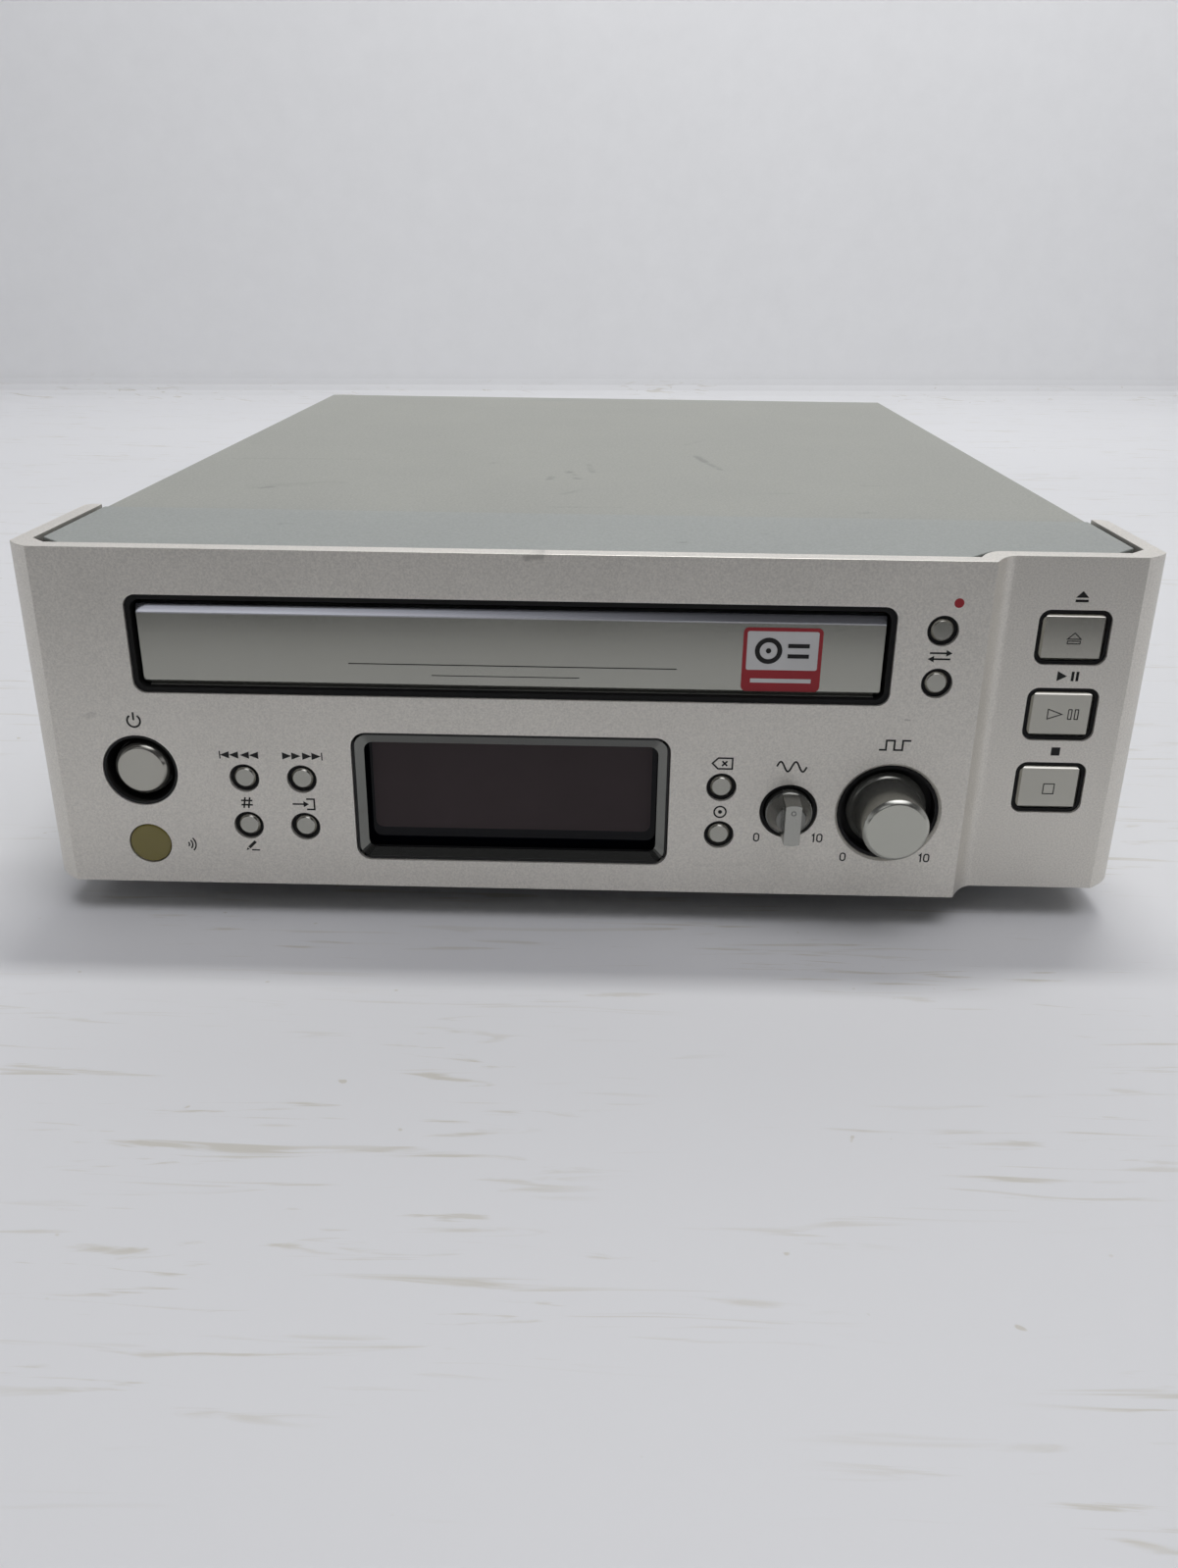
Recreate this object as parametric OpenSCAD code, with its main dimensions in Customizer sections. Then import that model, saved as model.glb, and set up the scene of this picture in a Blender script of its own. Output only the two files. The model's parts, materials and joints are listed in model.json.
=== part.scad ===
// Half-width disc recorder: a stepped wrap-round front panel over a moulded front frame,
// a sheet-steel case, and a belt-and-gear tray loader with a lifting optical traverse.
// Millimetres. X runs to the right, Y to the back and Z up from the floor.
// Each module is drawn with the main front face at Y = 0; place() moves it to the part's own origin.

/* [Case] */
// Width across the front panel
case_w = 215; // [208:1:232]
// Height of the front panel
panel_h = 68; // [67:0.5:76]
// Gap from the floor to the panel's lower edge
ground_gap = 7; // [5:0.5:12]
// Thickness of the front panel
panel_t = 3.8; // [3:0.1:4.4]
// Thickness of the panel's side returns
return_t = 3.2; // [2.4:0.1:3.4]
// Depth of the side returns behind the main face
return_len = 41.6; // [38:0.2:60]
// Leg of the panel's corner chamfers
corner_cut = 4.7; // [3:0.1:6]
// Swell of the chamfers beyond flat
corner_crown = 0.4; // [0:0.05:0.8]
// Least width of the set-back section on the right
side_min = 27.9; // [26.5:0.1:34]
// How far the right-hand section is set back
step_depth = 5.4; // [4:0.1:6]
// Width of the curved step
step_run = 5.2; // [4:0.1:6]
// Distance from the main face to the back edge of the top cover
case_d = 272; // [262:1:320]
// Gap between the returns and the top cover
cover_gap = 1.1; // [0.6:0.1:1.8]
// How far the top cover lies below the panel's upper edge
cover_drop = 0.6; // [0.4:0.1:1.2]
// How far the top rail lies below the panel's upper edge
rail_drop = 0.2; // [0:0.05:0.3]
// Thickness of the top rail
rail_t = 1.2; // [0.8:0.1:1.6]
// Thickness of the case sheet
sheet_t = 1; // [0.8:0.1:1.2]
// Gap from the floor to the underside of the bottom chassis
chassis_gap = 9.6; // [9:0.2:11]
// Height of the bottom chassis side flanges
flange_h = 24; // [18:1:30]
// Diameter of a foot
foot_d = 24; // [16:1:30]
// Distance of the feet from the centre line
foot_x = 80; // [60:1:88]
// Distance of the front feet behind the main face
foot_front = 34; // [28:1:50]
// Distance of the rear feet ahead of the cover's back edge
foot_back = 34; // [28:1:60]

/* [Front frame] */
// Wall of the moulded front frame
frame_t = 2.5; // [2:0.1:3]
// Wall of the liners that fill the panel's openings
liner_t = 0.9; // [0.7:0.05:1.1]
// Gap between the panel's openings and the liners
liner_gap = 0.1; // [0.05:0.05:0.2]
// How far the liners stop short of the panel's face
liner_back = 0.5; // [0.3:0.1:1]
// Distance of the key board behind the main face
board_y = 19.5; // [18.8:0.1:21]
// Thickness of the circuit boards
board_t = 1.6; // [1.2:0.1:2]

/* [Tray opening] */
// Least panel left of the tray opening
slot_left_min = 8.15; // [7.8:0.05:20]
// Least panel between the tray opening and the step
slot_right_min = 12.05; // [12:0.05:16]
// Width of the tray opening
slot_w = 142.9; // [142:0.1:144]
// Height of the tray opening
slot_h = 19.1; // [18.6:0.1:20]
// Lower edge of the tray opening above the panel's lower edge
slot_z = 40.2; // [40:0.1:42]
// Corner radius of the tray opening
slot_r = 2.4; // [1:0.1:3]
// Gap round the tray door
door_gap = 0.5; // [0.3:0.05:0.8]
// How far the door lies behind the main face
door_back = 1.8; // [1:0.1:2.6]
// Thickness of the door
door_t = 3.2; // [2.6:0.1:4]
// Gap from the liner's roof down to the top of the door
door_head = 1.3; // [0.8:0.1:2]
// Height of the bevel along the door's upper edge
door_bevel = 1.4; // [0.8:0.1:1.8]
// Depth of that bevel
door_lean = 0.75; // [0.5:0.05:1.2]

/* [Display] */
// How far the display's centre lies to the right of the tray's
display_shift = 0; // [-1.5:0.1:1.5]
// Width of the display opening
display_w = 61.7; // [58:0.1:64]
// Height of the display opening
display_h = 27; // [25:0.1:28]
// Lower edge of the display opening above the panel's lower edge
display_z = 5.9; // [5:0.1:7]
// Corner radius of the display opening
display_r = 3; // [2:0.1:4]
// How much the sloping surround narrows towards the window
display_slope = 1.5; // [1:0.1:2]
// Thickness of the display window
lens_t = 2; // [1.5:0.1:2.5]

/* [Keys] */
// How far a key travels
key_travel = 0.8; // [0.4:0.1:1]
// Running gap round a key
key_gap = 0.15; // [0.1:0.05:0.25]
// Diameter of a small key
small_d = 4.2; // [3.6:0.1:4.4]
// Diameter of the panel's hole for a small key
small_well = 5.8; // [5.6:0.1:6.4]
// Diameter of the standby key
standby_d = 10.6; // [9.6:0.1:11]
// Bevel round the standby key
standby_bevel = 0.8; // [0.4:0.05:1.2]
// Diameter of the panel's hole for the standby key
standby_well = 14.6; // [14:0.1:15.4]
// Width of a transport key
wide_w = 12; // [11.4:0.1:12.2]
// Height of a transport key
wide_h = 9; // [8.4:0.1:9.2]
// Bevel round a transport key
wide_bevel = 0.5; // [0.3:0.05:0.7]
// Corner radius of a transport key
wide_r = 1.7; // [1:0.1:2.2]
// Width of the black rim between a transport key and the panel
wide_rim = 0.6; // [0.5:0.05:0.8]
// Diameter of the remote receiver's window
ir_d = 8.4; // [7:0.1:9]

/* [Key and knob places] */
// Spacing of the two columns left of the display
key_pitch = 11.25; // [10:0.25:11.5]
// Lower row of keys above the panel's lower edge
key_row_z = 12.9; // [12:0.1:14]
// Spacing of the two rows of keys
key_row_pitch = 10.1; // [9:0.1:11]
// Column of keys right of the tray, from the step
record_key_in = 8.4; // [8:0.1:8.8]
// Lower key right of the tray, above the panel's lower edge
record_key_z = 44.9; // [43:0.1:46]
// Standby key from the panel's left end
standby_in = 20.5; // [18.5:0.1:23.5]
// Standby key above the panel's lower edge
standby_z = 24.2; // [22:0.1:26]
// Remote window from the panel's left end
ir_in = 20.6; // [18.5:0.1:23.5]
// Remote window above the panel's lower edge
ir_z = 8.5; // [7:0.1:10]
// Transport keys from the moulded frame's right edge
wide_in = 9.2; // [8.3:0.1:11]
// Lowest transport key above the panel's lower edge
wide_z = 22; // [20:0.1:24]
// Spacing of the transport keys
wide_pitch = 15.3; // [14:0.1:16]
// Digital knob from the step
digital_in = 14.7; // [14.4:0.1:15.4]
// Knobs above the panel's lower edge
knob_z = 18.2; // [17:0.1:20]

/* [Knobs] */
// Diameter of the panel's hole for the analog level knob
analog_well = 11.2; // [11:0.1:12]
// Diameter of the analog level knob
analog_d = 9.1; // [8.4:0.1:9.4]
// How far the analog level knob stands out
analog_out = 7; // [5:0.1:9]
// Width of the analog knob's grip bar
analog_bar = 3.1; // [2.4:0.1:3.6]
// Diameter of the analog control's shaft
analog_shaft_d = 4; // [3:0.1:4.4]
// Diameter of the panel's hole for the digital level knob
digital_well = 19.7; // [19.2:0.1:20.4]
// Bright chamfer round that hole
digital_rim = 0.5; // [0.3:0.1:0.7]
// Diameter of the digital knob's flange
digital_flange = 15.6; // [15:0.1:16.4]
// Diameter of the digital knob's front
digital_d = 12.6; // [11:0.1:13.4]
// How far the digital level knob stands out
digital_out = 8.5; // [6:0.1:10]
// Diameter of the digital control's shaft
digital_shaft_d = 6; // [5:0.1:6.4]
// Running gap round a shaft
shaft_gap = 0.05; // [0.02:0.01:0.1]

/* [Loader] */
// Diameter of a full-size disc
disc_d = 120; // [120:0.5:121]
// Gap round a disc in the tray
disc_gap = 0.75; // [0.4:0.05:1.2]
// Diameter of a small disc
small_disc_d = 80; // [78:1:84]
// Thickness of the tray
tray_t = 6; // [5.4:0.1:6.4]
// Floor of the tray under the disc
tray_floor = 2.5; // [2:0.1:2.8]
// Gap between the tray and its guides
tray_gap = 0.25; // [0.2:0.05:0.4]
// How far the tray comes out
tray_travel = 130; // [122:1:134]
// Tooth module of the loading gears
gear_m = 1; // [0.8:0.1:1]
// Teeth on the tray gear
tray_gear_n = 24; // [20:2:26]
// Teeth on the pulley's pinion
pinion_n = 14; // [12:2:16]
// Backlash between teeth
backlash = 0.16; // [0.1:0.02:0.24]
// Height of the loading gears
gear_h = 2.6; // [2:0.1:2.8]
// Radius of the large belt pulley
pulley_r = 11; // [9:0.5:12]
// Radius of the motor's belt pulley
motor_pulley_r = 3.5; // [3:0.1:4.5]
// Thickness of the drive belt
belt_t = 1.2; // [1:0.1:1.6]
// Distance between the two pulleys
belt_span = 43; // [38:1:48]
// How far the traverse lifts
lift = 6.5; // [5:0.1:6.8]
// How far the pickup travels
pickup_travel = 36; // [30:1:38]
// Diameter of the turntable
turntable_d = 27; // [24:0.5:28]
// Diameter of the disc clamper
clamper_d = 30; // [26:0.5:34]
// Diameter of the pickup's guide rods
rod_d = 3; // [2.5:0.1:3.4]

/* [Rear sockets] */
// Diameter of a phono jack's sleeve
jack_d = 8.3; // [8:0.1:8.6]
// How far a jack's sleeve stands out of the rear panel
jack_out = 9; // [7:0.1:10]
// Spacing of the jacks in a pair
jack_pitch = 14; // [13:0.5:18]

/* [Hidden] */
$fn = 48;

// How far a cut runs past the face it opens, and a wall into the piece that carries it
over = 1;
root = 0.5;

// Case levels and planes
hw = case_w / 2;
panel_z = ground_gap;
panel_top = panel_z + panel_h;
cover_hw = hw - return_t - cover_gap;
cover_top = panel_top - cover_drop;
cover_under = cover_top - sheet_t;
rail_top = panel_top - rail_drop;
rail_under = rail_top - rail_t;
sheet_fit = 0.1;
inner_hw = cover_hw - sheet_t - sheet_fit;
chassis_top = chassis_gap + sheet_t;
rear_inset = 2;
rear_y = case_d - rear_inset - sheet_t;
rear_back = rear_y + sheet_t;
origin_y = (digital_out - rear_back - jack_out) / 2;

// Panel layout: what the tray opening leaves of the width, shared out over the least widths,
// then the keys and knobs between their neighbours
inner_cut = 3.5;
corner_gap = 0.5;
frame_hw = hw - return_t - inner_cut - corner_gap;
surround_flange = 2;
small_flange = 6.8;
standby_flange = standby_d + 2.2;
left_share = 0.55;
right_share = 0.2;
spare_w = case_w - slot_w - slot_left_min - slot_right_min - side_min;
tray_x = -hw + slot_left_min + left_share * spare_w + slot_w / 2;
step_x = tray_x + slot_w / 2 + slot_right_min + right_share * spare_w;
display_x = tray_x + display_shift;
display_left = display_x - display_w / 2;
display_right = display_x + display_w / 2;
standby_x = -hw + standby_in;
ir_x = -hw + ir_in;
wide_x = frame_hw - wide_in;
record_key_x = step_x - record_key_in;
digital_x = step_x - digital_in;
left_from = standby_x + standby_flange / 2;
left_spare = display_left - surround_flange - left_from - key_pitch - small_flange;
left_key_share = 209 / 300;
left_key_x = left_from + small_flange / 2 + left_key_share * left_spare;
right_from = display_right + surround_flange;
right_to = digital_x - digital_well / 2 - digital_rim;
right_spare = right_to - right_from - small_flange - analog_well;
edit_key_share = 0.375;
analog_share = 69 / 248;
edit_key_x = right_from + small_flange / 2 + edit_key_share * right_spare;
analog_x = right_to - analog_well / 2 - analog_share * right_spare;

// Front frame planes, main and set-back
frame_y = panel_t;
frame_back = frame_y + frame_t;
side_frame_y = step_depth + panel_t;
side_frame_back = side_frame_y + frame_t;
step_lag = 0.55 * panel_t;
step_wall_t = 2;
step_wall_gap = 0.3;
step_wall_x = step_x - step_lag - step_wall_gap - step_wall_t;

// Small keys: x, and height above the panel's lower edge
upper_row_z = key_row_z + key_row_pitch;
small_keys = [
    [left_key_x, upper_row_z],
    [left_key_x + key_pitch, upper_row_z],
    [left_key_x, key_row_z],
    [left_key_x + key_pitch, key_row_z],
    [edit_key_x, upper_row_z],
    [edit_key_x, key_row_z],
    [record_key_x, record_key_z + key_row_pitch],
    [record_key_x, record_key_z]
];
wide_rows = [2, 1, 0];
switch_h = 3.5;
switch_tip = 0.8;
tip_y = board_y - switch_h - switch_tip;
tip_gap = 0.2;
key_end = tip_y - key_travel - tip_gap;
flange_gap = 0.1;
flange_t = 1.2;

// Tray and throat levels
door_hw = slot_w / 2 - liner_gap - liner_t - door_gap;
door_lap = 1;
tray_hw = door_hw - door_lap;
throat_z = panel_z + slot_z + liner_gap + liner_t;
throat_top = panel_z + slot_z + slot_h - liner_gap - liner_t;
door_sill = 0.2;
door_z = throat_z + door_sill;
door_top = throat_top - door_head;
door_rear = door_back + door_t;
rack_clear = 0.9;
rack_spare = 0.8;
rack_h = gear_h + rack_spare;
tray_z = throat_z + rack_clear + rack_h;
tray_top = tray_z + tray_t;
disc_floor = tray_z + tray_floor;
recess_r = disc_d / 2 + disc_gap;
tray_rim = 6;
disc_y = door_rear + tray_rim + recess_r;

// Loading gears
gear_rise = 0.3;
gear_z = throat_z + rack_clear + gear_rise;
pitch_r = gear_m * tray_gear_n / 2;
pinion_r = gear_m * pinion_n / 2;
deck_t = 2;
pulley_h = 3;
pulley_drop = 0.5;
pulley_z = gear_z - pulley_drop - pulley_h;
deck_gap = 0.3;
deck_top = pulley_z - deck_gap;
deck_z = deck_top - deck_t;
loader_gap = 2;
loader_y = board_y + board_t + loader_gap;
gear_room = 3;
gear_y = loader_y + pitch_r + 2 * gear_m + gear_room;
rack_inset = 8;
rack_x = -tray_hw + rack_inset;
gear_x = rack_x + pitch_r;
pulley_x = gear_x + pitch_r + pinion_r;
motor_x = pulley_x + belt_span;
post_d = 3;
spare_teeth = 3 * PI * gear_m;
tray_tail = 5;
tray_end = gear_y + tray_travel + spare_teeth + tray_tail;
loader_tail = 6;
loader_end = tray_end + loader_tail;
guide_hw = tray_hw + tray_gap;
loader_wall = 2.2;
loader_hw = guide_hw + loader_wall;
bridge_rise = 4.5;
bridge_z = tray_top + bridge_rise;

// Traverse
skirt_t = 2;
skirt_hw = 41;
skirt_front = 12;
skirt_y = disc_y - skirt_front;
base_t = 2;
turntable_rise = 5.5;
turntable_t = 4.3;
disc_lift = 2.3;
base_z = disc_floor + disc_lift - lift - turntable_t - turntable_rise - base_t;
base_gap = 0.3;
skirt_drop = 4;
skirt_z = base_z - skirt_drop;
ledge_t = 2;
lift_slope = 0.5;
slider_t = 2;
slider_gap = 0.4;
slider_y = skirt_y - skirt_t - slider_gap - slider_t;
slider_run = lift / lift_slope;
pin_d = 3;
pin_x = 24;
pin_z = base_z + base_t / 2;
spindle_h = 7.5;
turntable_z = base_z + base_t + turntable_rise;
turntable_top = turntable_z + turntable_t;
pickup_gap = 1;
pickup_z = base_z + base_t + pickup_gap;
rod_x = 22;
rod_rise = 1.9;
rod_z = pickup_z + rod_rise;
rod_front = 10;
rod_y0 = disc_y + rod_front;
pickup_front = 14.5;
pickup_y = disc_y + pickup_front;
pickup_len = 24;
rod_spare = 15.5;
rod_y1 = pickup_y + pickup_len + pickup_travel + rod_spare;
holder_t = 4;
skirt_room = 2;
skirt_end = rod_y1 + holder_t + skirt_room;
sled_x = 31;
sled_d = 3;
sled_z = base_z + sled_d / 2;

// Shared shapes

module place() translate([0, origin_y, 0]) children();

module at_tray() translate([tray_x, 0, 0]) children();

// Box between two corners
module slab(x0, x1, y0, y1, z0, z1) translate([x0, y0, z0]) cube([x1 - x0, y1 - y0, z1 - z0]);

// A front-view outline carried from depth y0 to depth y1
module front_extrude(y0, y1) translate([0, y1, 0]) rotate([90, 0, 0]) linear_extrude(y1 - y0) children();

// A plan outline carried from level z0 to level z1
module plan_extrude(z0, z1) translate([0, 0, z0]) linear_extrude(z1 - z0) children();

// A side-view outline (y, z) carried from x0 to x1
module side_extrude(x0, x1) translate([x0, 0, 0]) rotate([90, 0, 90]) linear_extrude(x1 - x0) children();

// Rounded rectangle centred on the origin
module round_rect(w, h, r) {
    square([w - 2 * r, h], center = true);
    square([w, h - 2 * r], center = true);
    for (sx = [-1, 1], sy = [-1, 1])
        translate([sx * (w / 2 - r), sy * (h / 2 - r)]) circle(r);
}

// Round bar along Y
module y_bar(x, z, y0, y1, d) translate([x, y0, z]) rotate([-90, 0, 0]) cylinder(d = d, h = y1 - y0);

// Tapered round bar along Y
module y_cone(x, z, y0, y1, d0, d1)
    translate([x, y0, z]) rotate([-90, 0, 0]) cylinder(d1 = d0, d2 = d1, h = y1 - y0);

// Round bar along Z
module z_bar(x, y, z0, z1, d) translate([x, y, z0]) cylinder(d = d, h = z1 - z0);

// Rectangular shape that changes evenly from (w0, h0) at y0 to (w1, h1) at y1
module tapered_block(x, z, y0, y1, w0, h0, w1, h1) intersection() {
    translate([x, 0, z - h0]) plan_extrude(0, 2 * h0)
        polygon([[-w0 / 2, y0], [w0 / 2, y0], [w1 / 2, y1], [-w1 / 2, y1]]);
    translate([0, 0, z]) side_extrude(x - w0, x + w0)
        polygon([[y0, -h0 / 2], [y0, h0 / 2], [y1, h1 / 2], [y1, -h1 / 2]]);
}

// Points of a slightly swollen chamfer from p to q
function crowned(p, q, bulge, n = 6) =
    let (d = q - p, side = [d.y, -d.x] / norm(d))
    [for (i = [0:n]) let (t = i / n) p + d * t + side * 4 * bulge * t * (1 - t)];

// Points of the step: it leaves the main face at an edge and runs out into the set-back face
function step_curve(x0, y0, n = 10) =
    [for (i = [0:n]) let (t = i / n) [x0 + step_run * t, y0 + step_depth * (1 - pow(1 - t, 2))]];

// Involute spur gear in plan
function inv_deg(a) = tan(a) * 180 / PI - a;
function flank_angle(r, n) =
    let (base_r = gear_m * n / 2 * cos(20), half = 90 / n - backlash / 4 / (gear_m * n / 2) * 180 / PI)
    half + inv_deg(20) - (r > base_r ? inv_deg(acos(base_r / r)) : 0);
function gear_radii(n) =
    let (root = gear_m * (n / 2 - 1.25), tip = gear_m * (n / 2 + 0.95), base_r = gear_m * n / 2 * cos(20),
         from = max(root, base_r))
    concat(root < base_r ? [root] : [], [for (i = [0:4]) from + (tip - from) * i / 4]);
module gear_plan(n) {
    radii = gear_radii(n);
    last = len(radii) - 1;
    polygon([for (i = [0:n - 1], side = [-1, 1], k = [0:last])
        let (r = radii[side < 0 ? k : last - k], a = i * 360 / n + side * flank_angle(r, n))
        [r * cos(a), r * sin(a)]]);
}

// Rack in plan: teeth face +X about the pitch line x = 0, with a gap centred at y = 0
module rack_plan(y0, y1, back) {
    pitch = PI * gear_m;
    add = 0.95 * gear_m;
    ded = 1.25 * gear_m;
    half = pitch / 4 - backlash / 4;
    translate([-ded - back, y0]) square([back, y1 - y0]);
    for (i = [ceil(y0 / pitch) : floor(y1 / pitch) - 1])
        translate([0, (i + 0.5) * pitch])
            polygon([[-ded - back / 2, -half - ded * tan(20)], [-ded, -half - ded * tan(20)],
                [add, -half + add * tan(20)], [add, half - add * tan(20)],
                [-ded, half + ded * tan(20)], [-ded - back / 2, half + ded * tan(20)]]);
}

// Outline round two circles, big at the origin and small at (span, 0), as two arcs joined by tangents
module belt_outline(big, small, span, n = 40) {
    lap = acos((big - small) / span);
    polygon(concat(
        [for (i = [0:n]) let (a = lap + (360 - 2 * lap) * i / n) big * [cos(a), sin(a)]],
        [for (i = [0:n]) let (a = -lap + 2 * lap * i / n) [span, 0] + small * [cos(a), sin(a)]]));
}

// Front panel and its wells

module panel_plan() {
    left = crowned([-hw, corner_cut], [-hw + corner_cut, 0], corner_crown);
    right = crowned([hw - corner_cut, step_depth], [hw, step_depth + corner_cut], corner_crown);
    nose = return_t * 0.4;
    inner = hw - return_t;
    inner_step = step_curve(step_x - step_lag, panel_t);
    polygon(concat(
        [[-inner, return_len], [-hw + nose, return_len], [-hw, return_len - nose]],
        left, step_curve(step_x, 0), right,
        [[hw, return_len - nose], [hw - nose, return_len], [inner, return_len]],
        [[inner, side_frame_y + inner_cut], [inner - inner_cut, side_frame_y]],
        [for (i = [len(inner_step) - 1 : -1 : 0]) inner_step[i]],
        [[-inner + inner_cut, panel_t], [-inner, panel_t + inner_cut]]));
}

module slot_outline(inset) translate([tray_x, panel_z + slot_z + slot_h / 2])
    round_rect(slot_w - 2 * inset, slot_h - 2 * inset, slot_r - inset / 2);

module display_outline(inset) translate([display_x, panel_z + display_z + display_h / 2])
    round_rect(display_w - 2 * inset, display_h - 2 * inset, display_r - inset / 2);

module wide_outline(row, grow) translate([wide_x, panel_z + wide_z + row * wide_pitch])
    round_rect(wide_w + 2 * grow, wide_h + 2 * grow, wide_r + grow / 2);

wide_grow = key_gap + wide_rim;

module front_panel() color("silver") difference() {
    plan_extrude(panel_z, panel_top) panel_plan();
    front_extrude(-over, panel_t + over) {
        slot_outline(0);
        display_outline(0);
    }
    for (row = wide_rows) front_extrude(0, side_frame_y + over) wide_outline(row, wide_grow + liner_gap);
    for (k = small_keys) y_bar(k.x, panel_z + k.y, -over, panel_t + over, small_well);
    y_bar(standby_x, panel_z + standby_z, -over, panel_t + over, standby_well);
    y_bar(ir_x, panel_z + ir_z, -over, panel_t + over, ir_d);
    y_bar(analog_x, panel_z + knob_z, -over, panel_t + over, analog_well);
    y_bar(digital_x, panel_z + knob_z, -over, panel_t + over, digital_well);
    y_cone(digital_x, panel_z + knob_z, -digital_rim, digital_rim,
        digital_well + 4 * digital_rim, digital_well);
}

// Moulded front frame: carrier plate, liners for every opening, side cheeks, roof and board posts

knob_liner_t = 0.6;
knob_hole_gap = 0.6;
cheek_t = 2;
cheek_inset = 1.6;
board_drop = 5.5;
cheek_end = return_len - cheek_t;
roof_t = 2;
roof_d = 26;
frame_foot = 8;
post_od = 5;
post_edge = 0.7;
post_shift = 4.5;
post_top = slot_z - board_drop - post_od / 2 - post_edge;
post_low = 7;
post_side = 8;
post_clear = 3.95;
board_posts = [
    [-inner_hw + post_side, post_top],
    [display_left - surround_flange - post_clear, post_top],
    [display_right + surround_flange + post_clear, post_top],
    [analog_x + post_shift, post_top],
    [inner_hw - post_side, post_low + surround_flange],
    [display_left - surround_flange - post_od / 2, post_low]
];

module knob_liner(x, well) difference() {
    y_bar(x, panel_z + knob_z, liner_back, frame_y + root, well - 2 * liner_gap);
    y_bar(x, panel_z + knob_z, liner_back - 1, frame_y, well - 2 * liner_gap - 2 * knob_liner_t);
}

module frame_plates() {
    slab(-frame_hw, step_wall_x + step_wall_t, frame_y, frame_back, chassis_top, rail_under);
    slab(step_wall_x, step_wall_x + step_wall_t, frame_y, side_frame_back, chassis_top, rail_under);
    slab(step_wall_x, frame_hw, side_frame_y, side_frame_back, chassis_top, rail_under);
    slab(-inner_hw, -inner_hw + cheek_t, frame_y + cheek_inset, cheek_end, chassis_top, rail_under);
    slab(inner_hw - cheek_t, inner_hw, side_frame_y + cheek_inset, cheek_end, chassis_top, rail_under);
    slab(-inner_hw, -frame_hw + root, frame_y + cheek_inset, frame_back, chassis_top, rail_under);
    slab(frame_hw - root, inner_hw, side_frame_y + cheek_inset, side_frame_back, chassis_top, rail_under);
    slab(-inner_hw, step_wall_x, frame_back - 1, roof_d, rail_under - roof_t, rail_under);
    slab(step_wall_x, inner_hw, side_frame_back - 1, roof_d, rail_under - roof_t, rail_under);
    slab(ir_x + frame_foot, display_x - display_w / 2 - frame_foot, frame_back - 1, side_frame_back + 2,
        chassis_top, chassis_top + roof_t);
    slab(display_x + display_w / 2 + frame_foot, step_wall_x, frame_back - 1, side_frame_back + 2,
        chassis_top, chassis_top + roof_t);
    slab(step_wall_x, inner_hw, side_frame_back - 1, side_frame_back + 2, chassis_top, chassis_top + roof_t);
}

module front_frame() color("#161616") difference() {
    union() {
        frame_plates();
        front_extrude(liner_back, frame_y + root) slot_outline(liner_gap);
        for (row = wide_rows)
            front_extrude(step_depth + liner_back, side_frame_y + root) wide_outline(row, wide_grow);
        for (k = small_keys)
            y_bar(k.x, panel_z + k.y, liner_back * 1.6, frame_y + root, small_well - 2 * liner_gap);
        y_bar(standby_x, panel_z + standby_z, liner_back / 2, frame_y + root, standby_well - 2 * liner_gap);
        knob_liner(analog_x, analog_well);
        knob_liner(digital_x, digital_well);
        for (p = board_posts)
            y_bar(p.x, panel_z + p.y, (p.x > step_wall_x ? side_frame_back : frame_back) - root, board_y,
                post_od);
    }
    front_extrude(-over, frame_back + over) slot_outline(liner_gap + liner_t);
    front_extrude(frame_y - over, frame_back + over) display_outline(0);
    for (row = wide_rows) front_extrude(0, side_frame_back + over) wide_outline(row, key_gap);
    for (k = small_keys) y_bar(k.x, panel_z + k.y, -over, frame_back + over, small_d + 2 * key_gap);
    y_bar(standby_x, panel_z + standby_z, -over, frame_back + over, standby_d + 2 * key_gap);
    y_cone(standby_x, panel_z + standby_z, 0, panel_t * 0.8, standby_well - liner_t, standby_d + 0.5);
    y_bar(ir_x, panel_z + ir_z, -over, frame_back + over, ir_d);
    y_bar(analog_x, panel_z + knob_z, frame_y - over, frame_back + over, analog_shaft_d + 2 * knob_hole_gap);
    y_bar(digital_x, panel_z + knob_z, frame_y - over, frame_back + over,
        digital_shaft_d + 2 * knob_hole_gap);
}

// Case sheet metal

rail_fit = 0.25;
rail_cut = 5.2;
rail_back = return_len - 1.6;
cover_front = rail_back + 0.4;

module top_rail() color("#a9aab0") {
    front = panel_t + rail_fit;
    side_front = side_frame_y + rail_fit;
    jog = step_x - step_lag - 2;
    plan_extrude(rail_under, rail_top)
        polygon([[-cover_hw, rail_back], [-cover_hw, front + rail_cut], [-cover_hw + rail_cut, front],
            [jog, front], [jog + step_run, side_front], [cover_hw - rail_cut, side_front],
            [cover_hw, side_front + rail_cut], [cover_hw, rail_back]]);
}

screw_d = 3;
screw_gap = 0.1;
head_d = 6.6;
head_t = 1.8;
side_screw_z = chassis_gap + flange_h * 0.6;
side_screw_ys = [case_d * 0.36, case_d * 0.82];
rear_screw_xs = [-inner_hw + 12, 0, inner_hw - 12];
rear_screw_z = cover_under - 8;
rear_fold = 14;
cover_skirt = 1;

module side_holes(x0, x1, d)
    for (sx = [-1, 1], y = side_screw_ys)
        translate([sx < 0 ? -x1 : x0, y, side_screw_z]) rotate([0, 90, 0]) cylinder(d = d, h = x1 - x0);

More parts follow.
